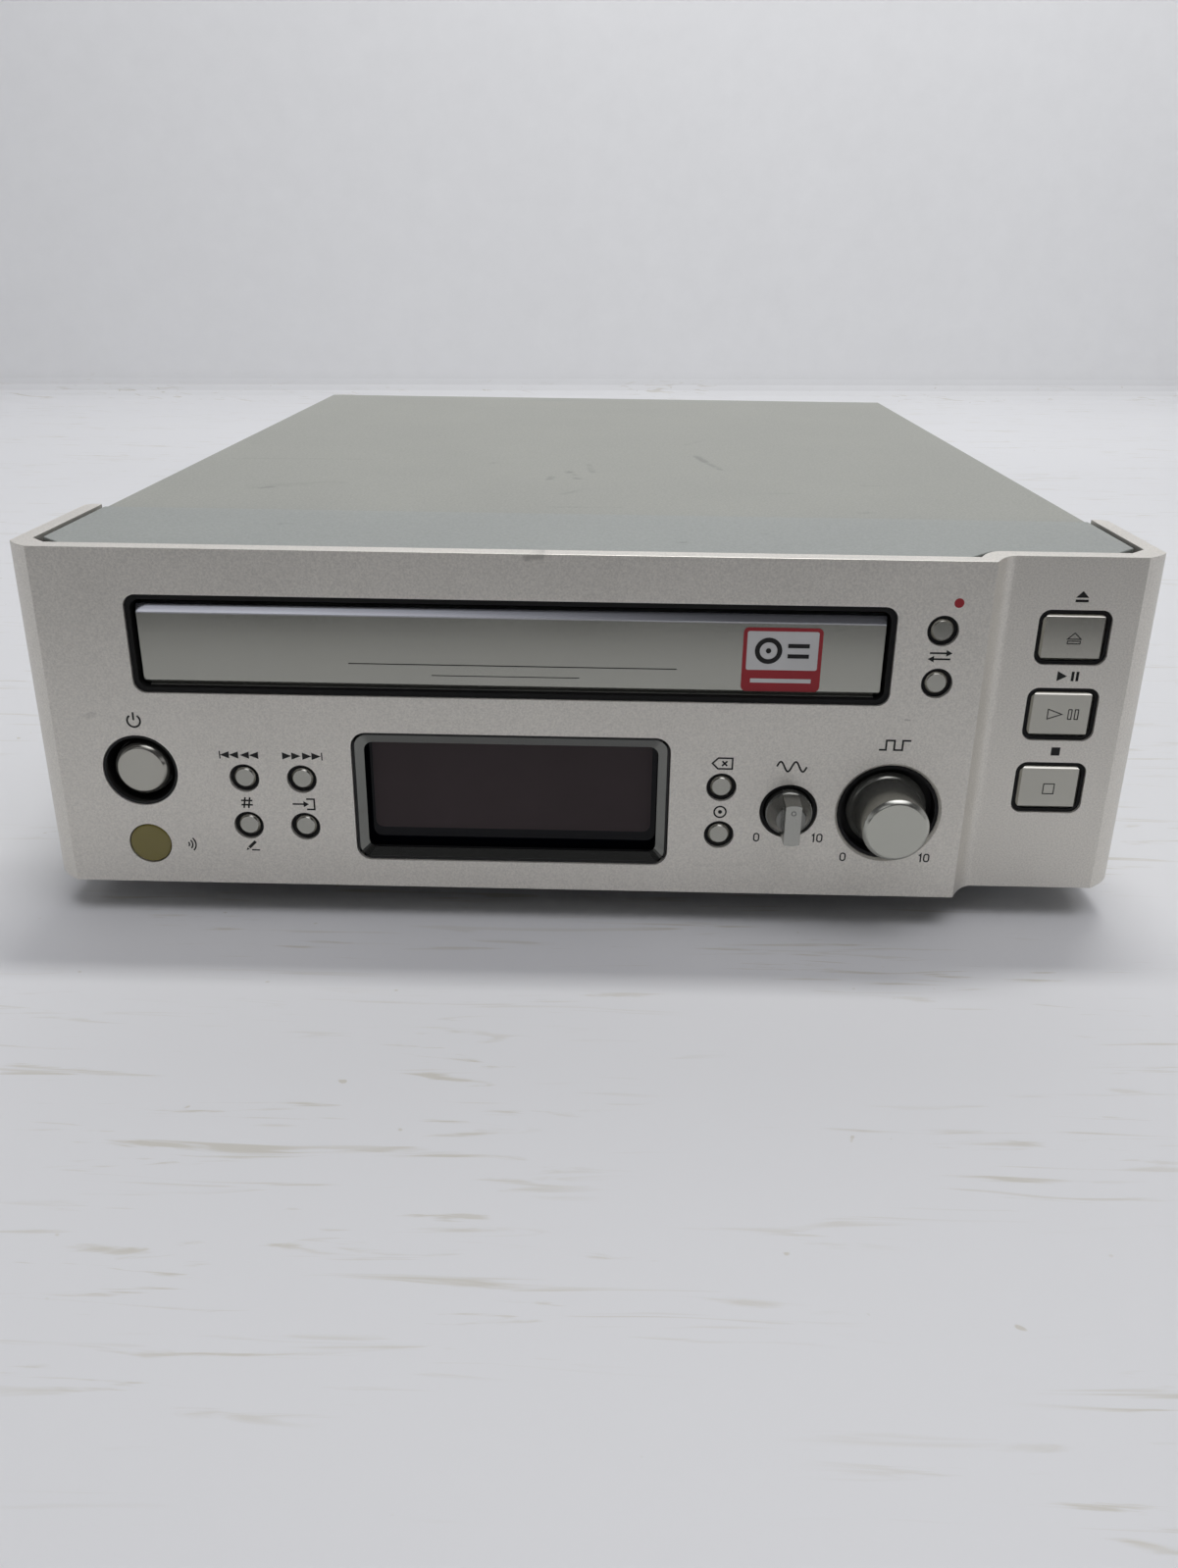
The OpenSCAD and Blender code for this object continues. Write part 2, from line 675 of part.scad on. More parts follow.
module top_cover() color("#9a988f") difference() {
    union() {
        slab(-cover_hw, cover_hw, cover_front, case_d, cover_under, cover_top);
        for (sx = [-1, 1])
            slab(sx < 0 ? -cover_hw : cover_hw - sheet_t, sx < 0 ? -cover_hw + sheet_t : cover_hw,
                cover_front, case_d, chassis_gap - cover_skirt, cover_top);
        slab(-cover_hw + 3, cover_hw - 3, rear_y - sheet_t - sheet_fit, rear_y - sheet_fit,
            cover_under - rear_fold, cover_under + sheet_t / 2);
        slab(-cover_hw + 3, cover_hw - 3, rear_y - 3 - sheet_t, rear_y - sheet_fit,
            cover_under - sheet_t / 2, cover_under + sheet_t / 2);
    }
    side_holes(inner_hw - 3, cover_hw + 1, screw_d + 2 * screw_gap);
    for (x = rear_screw_xs) y_bar(x, rear_screw_z, rear_y - 4, rear_y + 1, screw_d + 2 * screw_gap);
}

foot_rear = case_d - foot_back;
foot_ys = [foot_front, foot_rear];
vent_w = 3;
vent_len = 36;
vent_pitch = 8;

module bottom_chassis() color("#8d9096") difference() {
    union() {
        slab(-inner_hw, inner_hw, side_frame_back - 1, rear_y, chassis_gap, chassis_top);
        for (sx = [-1, 1])
            slab(sx < 0 ? -inner_hw : inner_hw - sheet_t, sx < 0 ? -inner_hw + sheet_t : inner_hw,
                return_len + 1, rear_y - 2, chassis_gap, chassis_gap + flange_h);
        slab(-inner_hw + 4, inner_hw - 4, rear_y - sheet_t, rear_y, chassis_gap, chassis_gap + 8);
        for (p = main_standoffs) z_bar(p.x, p.y, chassis_top - root, main_z, standoff_d);
        for (p = power_standoffs) z_bar(p.x, p.y, chassis_top - root, main_z, standoff_d);
    }
    side_holes(inner_hw - 3, cover_hw + 1, screw_d + 2 * screw_gap);
    for (sx = [-1, 1], y = foot_ys) z_bar(sx * foot_x, y, 0, chassis_top + 1, screw_d + 2 * screw_gap);
    for (i = [-6:6]) translate([i * vent_pitch, case_d * 0.72, chassis_gap - 1])
        linear_extrude(sheet_t + 2) round_rect(vent_w, vent_len, vent_w / 2 - 0.01);
}

module rear_panel() color("#7f8288") difference() {
    slab(-inner_hw, inner_hw, rear_y, rear_back, chassis_gap, cover_under - sheet_fit);
    for (p = jack_places) y_bar(p.x, p.y, rear_y - over, rear_back + over, jack_d + 2.4);
    for (x = optical_xs)
        translate([x, 0, jack_z]) front_extrude(rear_y - over, rear_back + over)
            round_rect(optical_w + 2 * socket_fit, optical_h + 2 * socket_fit, optical_r + socket_fit);
    translate([inlet_x, 0, inlet_z]) front_extrude(rear_y - over, rear_back + over)
        round_rect(inlet_w + 2 * socket_fit, inlet_h + 2 * socket_fit, inlet_h / 2);
    for (x = rear_screw_xs) y_bar(x, rear_screw_z, rear_y - over, rear_back + over, screw_d + 2 * screw_gap);
}

pad_h = 2;
foot_screw_deep = 4;
screw_end = 2;
case_screw_len = 5;

module feet() color("#1b1b1b")
    for (sx = [-1, 1], y = foot_ys)
        translate([sx * foot_x, y, 0]) rotate_extrude()
            polygon([[screw_d / 2 + screw_gap, chassis_gap], [foot_d / 2 - 1, chassis_gap],
                [foot_d / 2, chassis_gap - 1], [foot_d / 2 - 1.5, pad_h], [foot_d / 2 - 2.2, 0],
                [head_d / 2 + 1.6, 0], [head_d / 2 + 0.4, pad_h], [head_d / 2 + 0.4, foot_screw_deep],
                [screw_d / 2 + screw_gap, foot_screw_deep]]);

recess_w = 0.9;
recess_len = head_d * 0.55;
recess_deep = head_t * 0.6;

// Pan-head screw with a cross recess, pointing along +Z from the underside of its head
module screw(len) difference() {
    rotate_extrude()
        polygon([[0, -head_t], [head_d * 0.32, -head_t], [head_d * 0.46, -head_t * 0.65], [head_d / 2, 0],
            [screw_d / 2, 0], [screw_d / 2, len], [0, len]]);
    for (turn = [0, 90]) rotate(turn)
        slab(-recess_len / 2, recess_len / 2, -recess_w / 2, recess_w / 2,
            -head_t - over, recess_deep - head_t);
}

module case_screws() color("#55585c") {
    for (y = side_screw_ys) {
        translate([cover_hw, y, side_screw_z]) rotate([0, -90, 0]) screw(case_screw_len);
        translate([-cover_hw, y, side_screw_z]) rotate([0, 90, 0]) screw(case_screw_len);
    }
    for (x = rear_screw_xs) translate([x, rear_back, rear_screw_z]) rotate([90, 0, 0]) screw(case_screw_len);
    for (sx = [-1, 1], y = foot_ys)
        translate([sx * foot_x, y, foot_screw_deep]) screw(chassis_top - foot_screw_deep + screw_end);
}

// Display

lens_y = 4;
lens_lip = 0.8;
surround_t = 1.2;
glass_w = display_w - 2 * display_slope;
glass_h = display_h - 2 * display_slope;
display_mid = panel_z + display_z + display_h / 2;
lens_back = lens_y + lens_t;
lens_fit = 0.05;
lens_r = 2.2;

module window_outline(grow) translate([display_x, display_mid])
    round_rect(glass_w + 2 * grow, glass_h + 2 * grow, lens_r);

module display_surround() color("#2e2e30") difference() {
    union() {
        front_extrude(liner_back, frame_back + 0.5) display_outline(liner_gap);
        front_extrude(frame_back, frame_back + surround_t) display_outline(-surround_flange);
    }
    tapered_block(display_x, display_mid, liner_back - 0.1, lens_y + 0.1, display_w - 1.2, display_h - 1.2,
        glass_w - 0.04, glass_h - 0.04);
    front_extrude(lens_y, frame_back + surround_t + 1) window_outline(lens_lip);
}

module display_window() color("#0b0a12") front_extrude(lens_y, lens_back) window_outline(lens_lip - lens_fit);

tube_gap = 1;
tube_t = 6.5;
tube_edge = 1;
tube_stand_x = 20;
tube_stand_w = 8;

module display_tube() color("#3c4a48") {
    y0 = frame_back + surround_t + tube_gap;
    slab(display_x - glass_w / 2, display_x + glass_w / 2, y0, y0 + tube_t,
        display_mid - glass_h / 2 + tube_edge, display_mid + glass_h / 2 - tube_edge);
    for (x = [-tube_stand_x, tube_stand_x])
        slab(display_x + x - tube_stand_w / 2, display_x + x + tube_stand_w / 2, y0 + tube_t - root, board_y,
            display_mid - glass_h / 2 + 3 * tube_edge, display_mid + glass_h / 2 - 3 * tube_edge);
}

// Keys, their switches and the board that carries them

board_edge = 6;
board_right = inner_hw - board_edge + 1;
board_foot = chassis_top + 3;
board_head = 2;
board_key_edge = 5;
board_top = panel_z + slot_z - board_drop;
board_rise_x = record_key_x - board_key_edge;
board_back = board_y + board_t;

module key_board() color("#7a5a2e") difference() {
    union() {
        slab(-inner_hw + board_edge, board_right, board_y, board_back, board_foot, board_top);
        slab(board_rise_x, board_right, board_y, board_back, board_foot, rail_under - roof_t - board_head);
    }
    for (p = board_posts) y_bar(p.x, panel_z + p.y, board_y - over, board_back + over, 2.2);
}

module tact_switch(x, z) {
    slab(x - 3, x + 3, board_y - switch_h, board_y, z - 3, z + 3);
    y_bar(x, z, tip_y, board_y - switch_h + 0.5, 3.4);
}

module key_switches() color("#303236") {
    for (k = small_keys) tact_switch(k.x, panel_z + k.y);
    for (row = wide_rows) tact_switch(wide_x, panel_z + wide_z + row * wide_pitch);
    tact_switch(standby_x, panel_z + standby_z);
}

small_bevel = 0.35;
small_face = 0.3;
standby_face = 0.4;
wide_face = 0.2;
stem_d = 3;

// A round key: bevelled cap, guide, retaining flange and stem
module round_key(x, z, face, d, bevel, flange_d) color("#b9b9b4") {
    y_cone(x, z, face, face + bevel, d - 2 * bevel, d);
    y_bar(x, z, face + bevel, frame_back + flange_gap + 0.1, d);
    y_bar(x, z, frame_back + flange_gap, frame_back + flange_gap + flange_t, flange_d);
    y_bar(x, z, frame_back + flange_gap, key_end, stem_d);
}

module small_key(i)
    round_key(small_keys[i].x, panel_z + small_keys[i].y, small_face, small_d, small_bevel, small_flange);

// A transport key: bevelled block with a flange and a stem
module wide_key(row) color("#b9b9b4") {
    z = panel_z + wide_z + row * wide_pitch;
    face = step_depth + wide_face;
    body_len = side_frame_back + flange_gap + 0.1 - face;
    face_w = wide_w - 2 * wide_bevel;
    face_h = wide_h - 2 * wide_bevel;
    intersection() {
        front_extrude(face, face + body_len) wide_outline(row, 0);
        tapered_block(wide_x, z, face, face + body_len, face_w, face_h,
            face_w + 2 * body_len, face_h + 2 * body_len);
    }
    front_extrude(side_frame_back + flange_gap, side_frame_back + flange_gap + flange_t)
        translate([wide_x, z]) square([wide_w + 2, wide_h + 1.4], center = true);
    y_bar(wide_x, z, side_frame_back + flange_gap, key_end, stem_d);
}

module standby_key()
    round_key(standby_x, panel_z + standby_z, standby_face, standby_d, standby_bevel, standby_flange);
module skip_back_key() small_key(0);
module skip_forward_key() small_key(1);
module track_key() small_key(2);
module input_key() small_key(3);
module erase_key() small_key(4);
module finalize_key() small_key(5);
module record_key() small_key(6);
module sync_key() small_key(7);
module open_key() wide_key(2);
module play_key() wide_key(1);
module stop_key() wide_key(0);

ir_flange = 2.5;
ir_flange_t = 1;
ir_face = 0.1;

module ir_window() color("#5a5a34") {
    y_bar(ir_x, panel_z + ir_z, ir_face, frame_back, ir_d - 2 * liner_gap);
    y_bar(ir_x, panel_z + ir_z, frame_back, frame_back + ir_flange_t, ir_d + ir_flange);
}

module ir_receiver() color("#232327") {
    slab(ir_x - 3.5, ir_x + 3.5, frame_back + 5, board_y, panel_z + ir_z - 3, panel_z + ir_z + 3);
    translate([ir_x, frame_back + 5, panel_z + ir_z]) rotate([90, 0, 0])
        rotate_extrude() polygon([[0, 0], [2.4, 0], [2.1, 1.2], [1.2, 2.1], [0, 2.5]]);
}

// Level controls: bodies on the board, shafts and knobs

control_y = frame_back + 4;
analog_control_w = 10;
digital_control_w = 14;

module level_control(x, shaft_d, w) difference() {
    union() {
        slab(x - w / 2, x + w / 2, control_y, board_y, panel_z + knob_z - w / 2, panel_z + knob_z + w / 2);
        y_bar(x, panel_z + knob_z, control_y - 3, control_y + 0.5, shaft_d + 3);
    }
    y_bar(x, panel_z + knob_z, control_y - 4, board_y - 1.5, shaft_d + 2 * shaft_gap);
}

module level_controls() color("#3a3d42") {
    level_control(analog_x, analog_shaft_d, analog_control_w);
    level_control(digital_x, digital_shaft_d, digital_control_w);
}

knob_seat = frame_y - 0.4;
shaft_end = board_y - 2;

module knob_shaft(x, d, front) color("#9ea2a6") y_bar(x, panel_z + knob_z, front, shaft_end, d);
module analog_shaft() knob_shaft(analog_x, analog_shaft_d, -analog_out * 0.5);
module digital_shaft() knob_shaft(digital_x, digital_shaft_d, -digital_out * 0.6);

module analog_knob() color("#8c8c88") {
    z = panel_z + knob_z;
    collar_y = -1;
    waist = analog_d * 0.62;
    difference() {
        union() {
            y_bar(analog_x, z, collar_y, knob_seat, analog_d);
            y_cone(analog_x, z, -analog_out * 0.6, collar_y, waist, analog_d - 0.4);
            intersection() {
                y_bar(analog_x, z, -analog_out, knob_seat, analog_d - 0.6);
                slab(analog_x - analog_bar / 2, analog_x + analog_bar / 2, -analog_out, collar_y + 0.5,
                    z - analog_d, z + analog_d);
            }
        }
        y_bar(analog_x, z, -analog_out * 0.5, knob_seat + over, analog_shaft_d);
    }
}

module digital_knob() color("#a4a4a0") translate([digital_x, 0, panel_z + knob_z]) {
    ring = 0.7;
    rotate([90, 0, 0]) rotate_extrude()
        polygon([[digital_shaft_d / 2, -knob_seat], [digital_flange / 2, -knob_seat],
            [digital_flange / 2, -knob_seat + 1.4], [digital_flange / 2 - 0.4, -knob_seat + 1.8],
            [digital_d / 2 + 0.5, -knob_seat + 2.4], [digital_d / 2, digital_out - ring],
            [digital_d / 2 - ring, digital_out], [0, digital_out],
            [0, digital_out * 0.6], [digital_shaft_d / 2, digital_out * 0.6]]);
}

// Tray loader, drawn about the tray's centre line

tray_slot_hw = rod_x + 1.5;
tab_reach = 2.7;
rib_reach = 3;
slider_clear = 6;

module both_sides() {
    children();
    mirror([1, 0, 0]) children();
}

module loader_walls() both_sides() {
    slab(guide_hw, loader_hw, loader_y, loader_end, deck_z, bridge_z);
    slab(tray_hw - rib_reach, guide_hw + root, loader_y, loader_end, deck_z, tray_z - tray_gap);
    for (y = [loader_y + 2, disc_y + 30])
        slab(tray_hw - tab_reach, guide_hw + root, y, y + 10, tray_top + tray_gap, tray_top + tray_gap + 1.5);
}

module loader_deck() {
    slab(-loader_hw, loader_hw, loader_y, slider_y - 0.6, deck_z, deck_top);
    both_sides() {
        slab(skirt_hw + slider_clear, loader_hw, loader_y, loader_end, deck_z, deck_top);
        slab(skirt_hw, skirt_hw + slider_clear + 1, skirt_y - skirt_t, loader_end, deck_z, deck_top);
        slab(skirt_hw, skirt_hw + skirt_t, skirt_y - skirt_t, skirt_end + skirt_t, skirt_z, deck_top);
        for (y = [skirt_y, skirt_end - 9])
            slab(skirt_hw - 5, skirt_hw + 0.5, y, y + 9, skirt_z, base_z);
    }
    slab(-skirt_hw - 1, skirt_hw + 1, skirt_end, loader_end, deck_z, deck_top);
    slab(-skirt_hw - 1, skirt_hw + 1, skirt_end, skirt_end + skirt_t, skirt_z, deck_top);
    slab(-skirt_hw - 1, skirt_hw + 1, skirt_y - skirt_t, skirt_y, skirt_z, deck_top);
    slab(-skirt_hw - 1, skirt_hw + 1, slider_y - 0.3, skirt_y - skirt_t + 0.5, skirt_z, skirt_z + ledge_t);
}

module loader_frame() color("#20232a") at_tray() difference() {
    union() {
        loader_walls();
        loader_deck();
        for (x = [gear_x, pulley_x]) z_bar(x, gear_y, deck_top - root, gear_z + gear_h - 0.3, post_d);
    }
    z_bar(motor_x, gear_y, deck_z - 1, deck_top + 1, motor_shaft_d + 1);
    for (sx = [-1, 1])
        slab(sx * pin_x - pin_d / 2 - 0.2, sx * pin_x + pin_d / 2 + 0.2, skirt_y - skirt_t - 1, skirt_y + 1,
            pin_z - pin_d / 2 - 0.4, deck_top + 1);
}

bracket_share = 2 / 3;
bracket_foot = bracket_share * (inner_hw - sheet_t - loader_hw + tray_x);
bracket_strip = 18;
bracket_drop = 4;
bracket_front = 2;
bracket_back = 12;

module loader_brackets() color("#a2a5a8") at_tray() both_sides() {
    y0 = skirt_y + bracket_front;
    y1 = skirt_end - bracket_back;
    slab(loader_hw, loader_hw + sheet_t, y0, y1, chassis_top, bridge_z - bracket_drop);
    for (y = [y0, y1 - bracket_strip])
        slab(loader_hw, loader_hw + bracket_foot, y, y + bracket_strip, chassis_top, chassis_top + sheet_t);
}

bridge_t = 1.5;
bridge_w = 40;
bridge_inset = 4;
bridge_rib = 5;
clamper_neck = clamper_d * 0.7;
clamper_hub = clamper_d * 0.6;
clamper_edge = 0.5;
clamper_drop = 2.3;
clamper_web = 0.6;
clamper_play = 0.3;
clamper_cap = 1.6;
clamper_step = 2;

module clamp_bridge() color("#b4b6b8") at_tray() difference() {
    union() {
        slab(-loader_hw, loader_hw, disc_y - bridge_w / 2, disc_y + bridge_w / 2,
            bridge_z, bridge_z + bridge_t);
        for (y = [disc_y - bridge_w / 2, disc_y + bridge_w / 2 - bridge_t])
            slab(-loader_hw + bridge_inset, loader_hw - bridge_inset, y, y + bridge_t,
                bridge_z, bridge_z + bridge_rib);
    }
    z_bar(0, disc_y, bridge_z - 1, bridge_z + bridge_t + 1, clamper_neck + 1);
}

module clamper() color("#dcdcd6") translate([tray_x, disc_y, bridge_z]) rotate_extrude()
    polygon([[clamper_hub / 2, -clamper_drop], [clamper_d / 2 - clamper_edge, -clamper_drop],
        [clamper_d / 2, clamper_edge - clamper_drop], [clamper_d / 2, -clamper_edge],
        [clamper_neck / 2, -clamper_edge], [clamper_neck / 2, bridge_t + clamper_play],
        [clamper_d / 2 - clamper_step, bridge_t + clamper_play],
        [clamper_d / 2 - clamper_step, bridge_t + clamper_cap], [0, bridge_t + clamper_cap],
        [0, -clamper_web], [clamper_hub / 2, -clamper_web]]);

motor_d = 24;
motor_h = 18;
motor_shaft_d = 2;
bore_gap = 0.05;

module loading_motor() color("#8f9498") at_tray() translate([motor_x, gear_y, 0]) difference() {
    intersection() {
        z_bar(0, 0, deck_z - motor_h, deck_z, motor_d);
        slab(-motor_d, motor_d, -motor_d * 0.39, motor_d * 0.39, 0, deck_z);
    }
    z_bar(0, 0, deck_z - 10, deck_z + 1, motor_shaft_d + 2 * bore_gap);
}

// Flanged belt pulley standing on z = 0
module belt_pulley(r) rotate_extrude()
    polygon([[0, 0], [r + 1.1, 0], [r + 1.1, 0.4], [r, 0.8], [r, pulley_h - 0.8],
        [r + 1.1, pulley_h - 0.4], [r + 1.1, pulley_h], [0, pulley_h]]);

module motor_pulley() color("#caa64b") at_tray() translate([motor_x, gear_y, pulley_z]) {
    belt_pulley(motor_pulley_r);
    z_bar(0, 0, deck_z - 8 - pulley_z, 0.5, motor_shaft_d);
}

module loading_belt() color("#111111") at_tray() translate([pulley_x, gear_y, 0])
    plan_extrude(pulley_z + 0.9, pulley_z + pulley_h - 0.9) difference() {
        belt_outline(pulley_r + 0.1 + belt_t, motor_pulley_r + 0.1 + belt_t, belt_span);
        belt_outline(pulley_r + 0.1, motor_pulley_r + 0.1, belt_span);
    }

module pulley_gear() color("#e6e4da") at_tray() translate([pulley_x, gear_y, 0]) difference() {
    union() {
        translate([0, 0, pulley_z]) belt_pulley(pulley_r);
        z_bar(0, 0, pulley_z, gear_z + 0.2, 2 * (pinion_r - 1.6 * gear_m));
        plan_extrude(gear_z, gear_z + gear_h) rotate(180 / pinion_n) gear_plan(pinion_n);
    }
    z_bar(0, 0, pulley_z - 1, gear_z + gear_h + 1, post_d + 2 * bore_gap);
}

module tray_gear() color("#e6e4da") at_tray() translate([gear_x, gear_y, 0]) difference() {
    union() {
        plan_extrude(gear_z, gear_z + gear_h) gear_plan(tray_gear_n);
        z_bar(0, 0, deck_top + hub_gap, gear_z + hub_gap, hub_d);
    }
    z_bar(0, 0, deck_top - 1, gear_z + gear_h + 1, post_d + 2 * bore_gap);
}

hub_d = 7;
hub_gap = 0.2;
rack_back = 2.4;
finger_d = 26;

module disc_tray() color("#24262b") at_tray() {
    difference() {
        slab(-tray_hw, tray_hw, door_rear, tray_end, tray_z, tray_top);
        z_bar(0, disc_y, disc_floor, tray_top + 1, 2 * recess_r);
        z_bar(0, disc_y, disc_floor - 1.2, tray_top, small_disc_d + 2 * disc_gap);
        for (sx = [-1, 1], sy = [-1, 1])
            z_bar(sx * recess_r * 0.72, disc_y + sy * recess_r * 0.72, disc_floor, tray_top + 1, finger_d);
        z_bar(0, disc_y, tray_z - 1, tray_top, 2 * tray_slot_hw);
        slab(-tray_slot_hw, tray_slot_hw, disc_y, tray_end + 1, tray_z - 1, tray_top + 1);
    }
    translate([rack_x, gear_y, 0]) plan_extrude(tray_z - rack_h, tray_z + 0.2)
        rack_plan(-spare_teeth, tray_travel + spare_teeth, rack_back);
}

door_foot = 0.8;
door_r = 1.3;

module tray_door() color("#a8a9a4") at_tray() intersection() {
    side_extrude(-door_hw, door_hw)
        polygon([[door_back, door_z + door_foot], [door_back + door_foot, door_z], [door_rear, door_z],
            [door_rear, door_top], [door_back + door_lean, door_top], [door_back, door_top - door_bevel]]);
    front_extrude(0, door_rear + 1) {
        translate([-door_hw, door_z + door_r]) square([2 * door_hw, door_top]);
        translate([-door_hw + door_r, door_z]) square([2 * (door_hw - door_r), door_r]);
        for (sx = [-1, 1]) translate([sx * (door_hw - door_r), door_z + door_r]) circle(door_r);
    }
}

// Lifting traverse: base, rods, motors, pickup and the slider that raises it

rod_fit = 0.03;
holder_w = 7;
holder_wall = 1.8;
sled_holder_w = 10;
sled_holder_t = 2;
sled_room = 0.6;
sled_motor_d = 9.6;
sled_motor_len = 16;
sled_motor_back = 12;
sled_motor_y = rod_y1 - sled_motor_back;
sled_cuts = [[rod_y0 - holder_t + sled_holder_t, sled_motor_y - sled_holder_t],
    [sled_motor_y, sled_motor_y + sled_motor_len + root]];

module traverse_base() color("#5c6066") at_tray() difference() {
    hw_base = skirt_hw - base_gap;
    union() {
        slab(-hw_base, hw_base, skirt_y + base_gap, skirt_end - base_gap, base_z, base_z + base_t);
        for (sx = [-1, 1]) {
            for (y = [rod_y0 - holder_t, rod_y1])
                slab(sx * rod_x - holder_w / 2, sx * rod_x + holder_w / 2, y, y + holder_t,
                    base_z, rod_z + holder_wall);
            y_bar(sx * pin_x, pin_z, slider_y - 0.2, skirt_y + 1, pin_d);
        }
        for (y = [rod_y0 - holder_t, sled_motor_y - sled_holder_t])
            slab(sled_x - sled_holder_w / 2, sled_x + sled_holder_w / 2, y, y + sled_holder_t,
                base_z, sled_z + sled_d + root);
    }
    slab(-rod_x + 6, rod_x - 6, disc_y + 16, rod_y1 - 4, base_z - 1, base_z + base_t + 1);
    for (span = sled_cuts)
        slab(sled_x - sled_motor_d / 2 - sled_room, sled_x + sled_motor_d / 2 + sled_room, span[0], span[1],
            base_z - over, base_z + base_t + root);
    for (sx = [-1, 1])
        y_bar(sx * rod_x, rod_z, rod_y0 - holder_t - over, rod_y1 + holder_t + over, rod_d + 2 * rod_fit);
    y_bar(sled_x, sled_z, rod_y0 - holder_t - 1, sled_motor_y + 1, sled_d + 2 * bore_gap);
    z_bar(0, disc_y, base_z - 1, base_z + base_t + 1, spindle_d + 1);
}

module guide_rods() color("#d0d3d6") at_tray()
    for (sx = [-1, 1]) y_bar(sx * rod_x, rod_z, rod_y0 - holder_t, rod_y1 + holder_t, rod_d);

spindle_d = 2.4;
spindle_motor_d = 22;

module traverse_motors() color("#9a9ea3") at_tray() {
    difference() {
        z_bar(0, disc_y, base_z - spindle_h, base_z, spindle_motor_d);
        z_bar(0, disc_y, base_z - spindle_h + 1, base_z + 1, spindle_d + 2 * bore_gap);
    }
    difference() {
        y_bar(sled_x, sled_z, sled_motor_y, sled_motor_y + sled_motor_len, sled_motor_d);
        y_bar(sled_x, sled_z, sled_motor_y - 1, sled_motor_y + 6, sled_d + 2 * bore_gap);
    }
}

module turntable() color("#1e1f22") translate([tray_x, disc_y, 0]) {
    rotate_extrude()
        polygon([[0, turntable_z], [turntable_d / 2 - 3, turntable_z], [turntable_d / 2, turntable_top - 1.6],
            [turntable_d / 2, turntable_top], [7.8, turntable_top], [7.2, turntable_top + 1.2],
            [5, turntable_top + 2.2], [0, turntable_top + 2.2]]);
    z_bar(0, 0, base_z - spindle_h + 2, turntable_z + 0.5, spindle_d);
}

pickup_hw = 16.5;
pickup_h = 4.2;
arm_hw = 26;
follower_t = 2;
follower_z = sled_z + sled_d / 2 + 0.2;

module pickup() color("#3d4046") at_tray() difference() {
    union() {
        slab(-pickup_hw, pickup_hw, pickup_y, pickup_y + pickup_len, pickup_z, pickup_z + pickup_h);
        slab(-arm_hw, arm_hw, pickup_y + 1, pickup_y + pickup_len - 1, pickup_z, rod_z + rod_d / 2 + 0.5);
        slab(pickup_hw, sled_x + sled_d, pickup_y + 8, pickup_y + 16, follower_z, follower_z + follower_t);
    }
    for (sx = [-1, 1])
        y_bar(sx * rod_x, rod_z, pickup_y - over, pickup_y + pickup_len + over, rod_d + 2 * bore_gap);
}

lens_d = 7;

module pickup_lens() color("#6d7fb0") translate([tray_x, pickup_y + pickup_len * 0.4, pickup_z + pickup_h])
    rotate_extrude() polygon([[0, 0], [lens_d / 2 + 1.5, 0], [lens_d / 2 + 1.5, 0.6], [lens_d / 2, 0.6],
        [lens_d / 2 * 0.8, 1.1], [lens_d / 4, 1.5], [0, 1.6]]);

module sled_screw() color("#c2c5c8") at_tray()
    y_bar(sled_x, sled_z, rod_y0 - holder_t, sled_motor_y + 5, sled_d);

module lift_slot(x, z) translate([x, z]) {
    slot_d = pin_d + 0.3;
    circle(d = slot_d);
    translate([-slider_run, lift]) circle(d = slot_d);
    polygon([[0, 0] + slot_edge * slot_d / 2, [-slider_run, lift] + slot_edge * slot_d / 2,
        [-slider_run, lift] - slot_edge * slot_d / 2, [0, 0] - slot_edge * slot_d / 2]);
}

slot_edge = [lift, slider_run] / norm([lift, slider_run]);

module lift_slider() color("#d8d6cc") at_tray() front_extrude(slider_y, slider_y + slider_t) difference() {
    translate([-pin_x - slider_run - 6, skirt_z + ledge_t + 0.1])
        square([2 * pin_x + slider_run + 12, pin_z + lift + 3.2 - skirt_z - ledge_t]);
    for (sx = [-1, 1]) lift_slot(sx * pin_x, pin_z);
}

// Boards, power supply and rear sockets

main_z = chassis_top + 5.4;
main_top = main_z + board_t;
main_hw = loader_hw - 3;
main_y0 = board_back + 8;
main_y1 = rear_y - 4;
standoff_d = 6;
standoff_inset = 14;
main_standoffs = [for (sx = [-1, 1], y = [main_y0 + 6, main_y1 - 26])
    [tray_x + sx * (main_hw - standoff_inset), y]];
bay_gap = 2;
bay_wall = 1.5;
power_x0 = tray_x + loader_hw + bracket_foot + bay_gap;
power_x1 = inner_hw - sheet_t - bay_wall;
power_mid = (power_x0 + power_x1) / 2;
power_w = power_x1 - power_x0;
power_y0 = return_len + 4;
power_y1 = rear_y - 28;
power_standoffs = [for (y = [power_y0 + 5, power_y1 - 5]) [power_mid, y]];

module main_board() color("#1f5a34")
    slab(tray_x - main_hw, tray_x + main_hw, main_y0, main_y1, main_z, main_top);

// Board parts: x from the tray's centre line, y from the board's front edge, width, depth, height
chips = [[-40, 60, 20, 20, 3], [-4, 70, 28, 28, 3.4], [34, 60, 16, 16, 2.6],
    [-30, 150, 18, 12, 2.6], [20, 140, 14, 14, 2.6]];
// Capacitors: x from the tray's centre line and y from the board's front edge
cans = [[46, 120], [46, 134], [34, 120], [-58, 176], [-58, 190], [-12, 196], [2, 196]];
can_d = 8;
can_h = 12;

module main_board_parts() color("#26282c") at_tray() {
    for (c = chips)
        translate([c[0] - c[2] / 2, main_y0 + c[1], main_top]) cube([c[2], c[3], c[4]]);
    for (c = cans) z_bar(c.x, main_y0 + c.y, main_top, main_top + can_h, can_d);
}

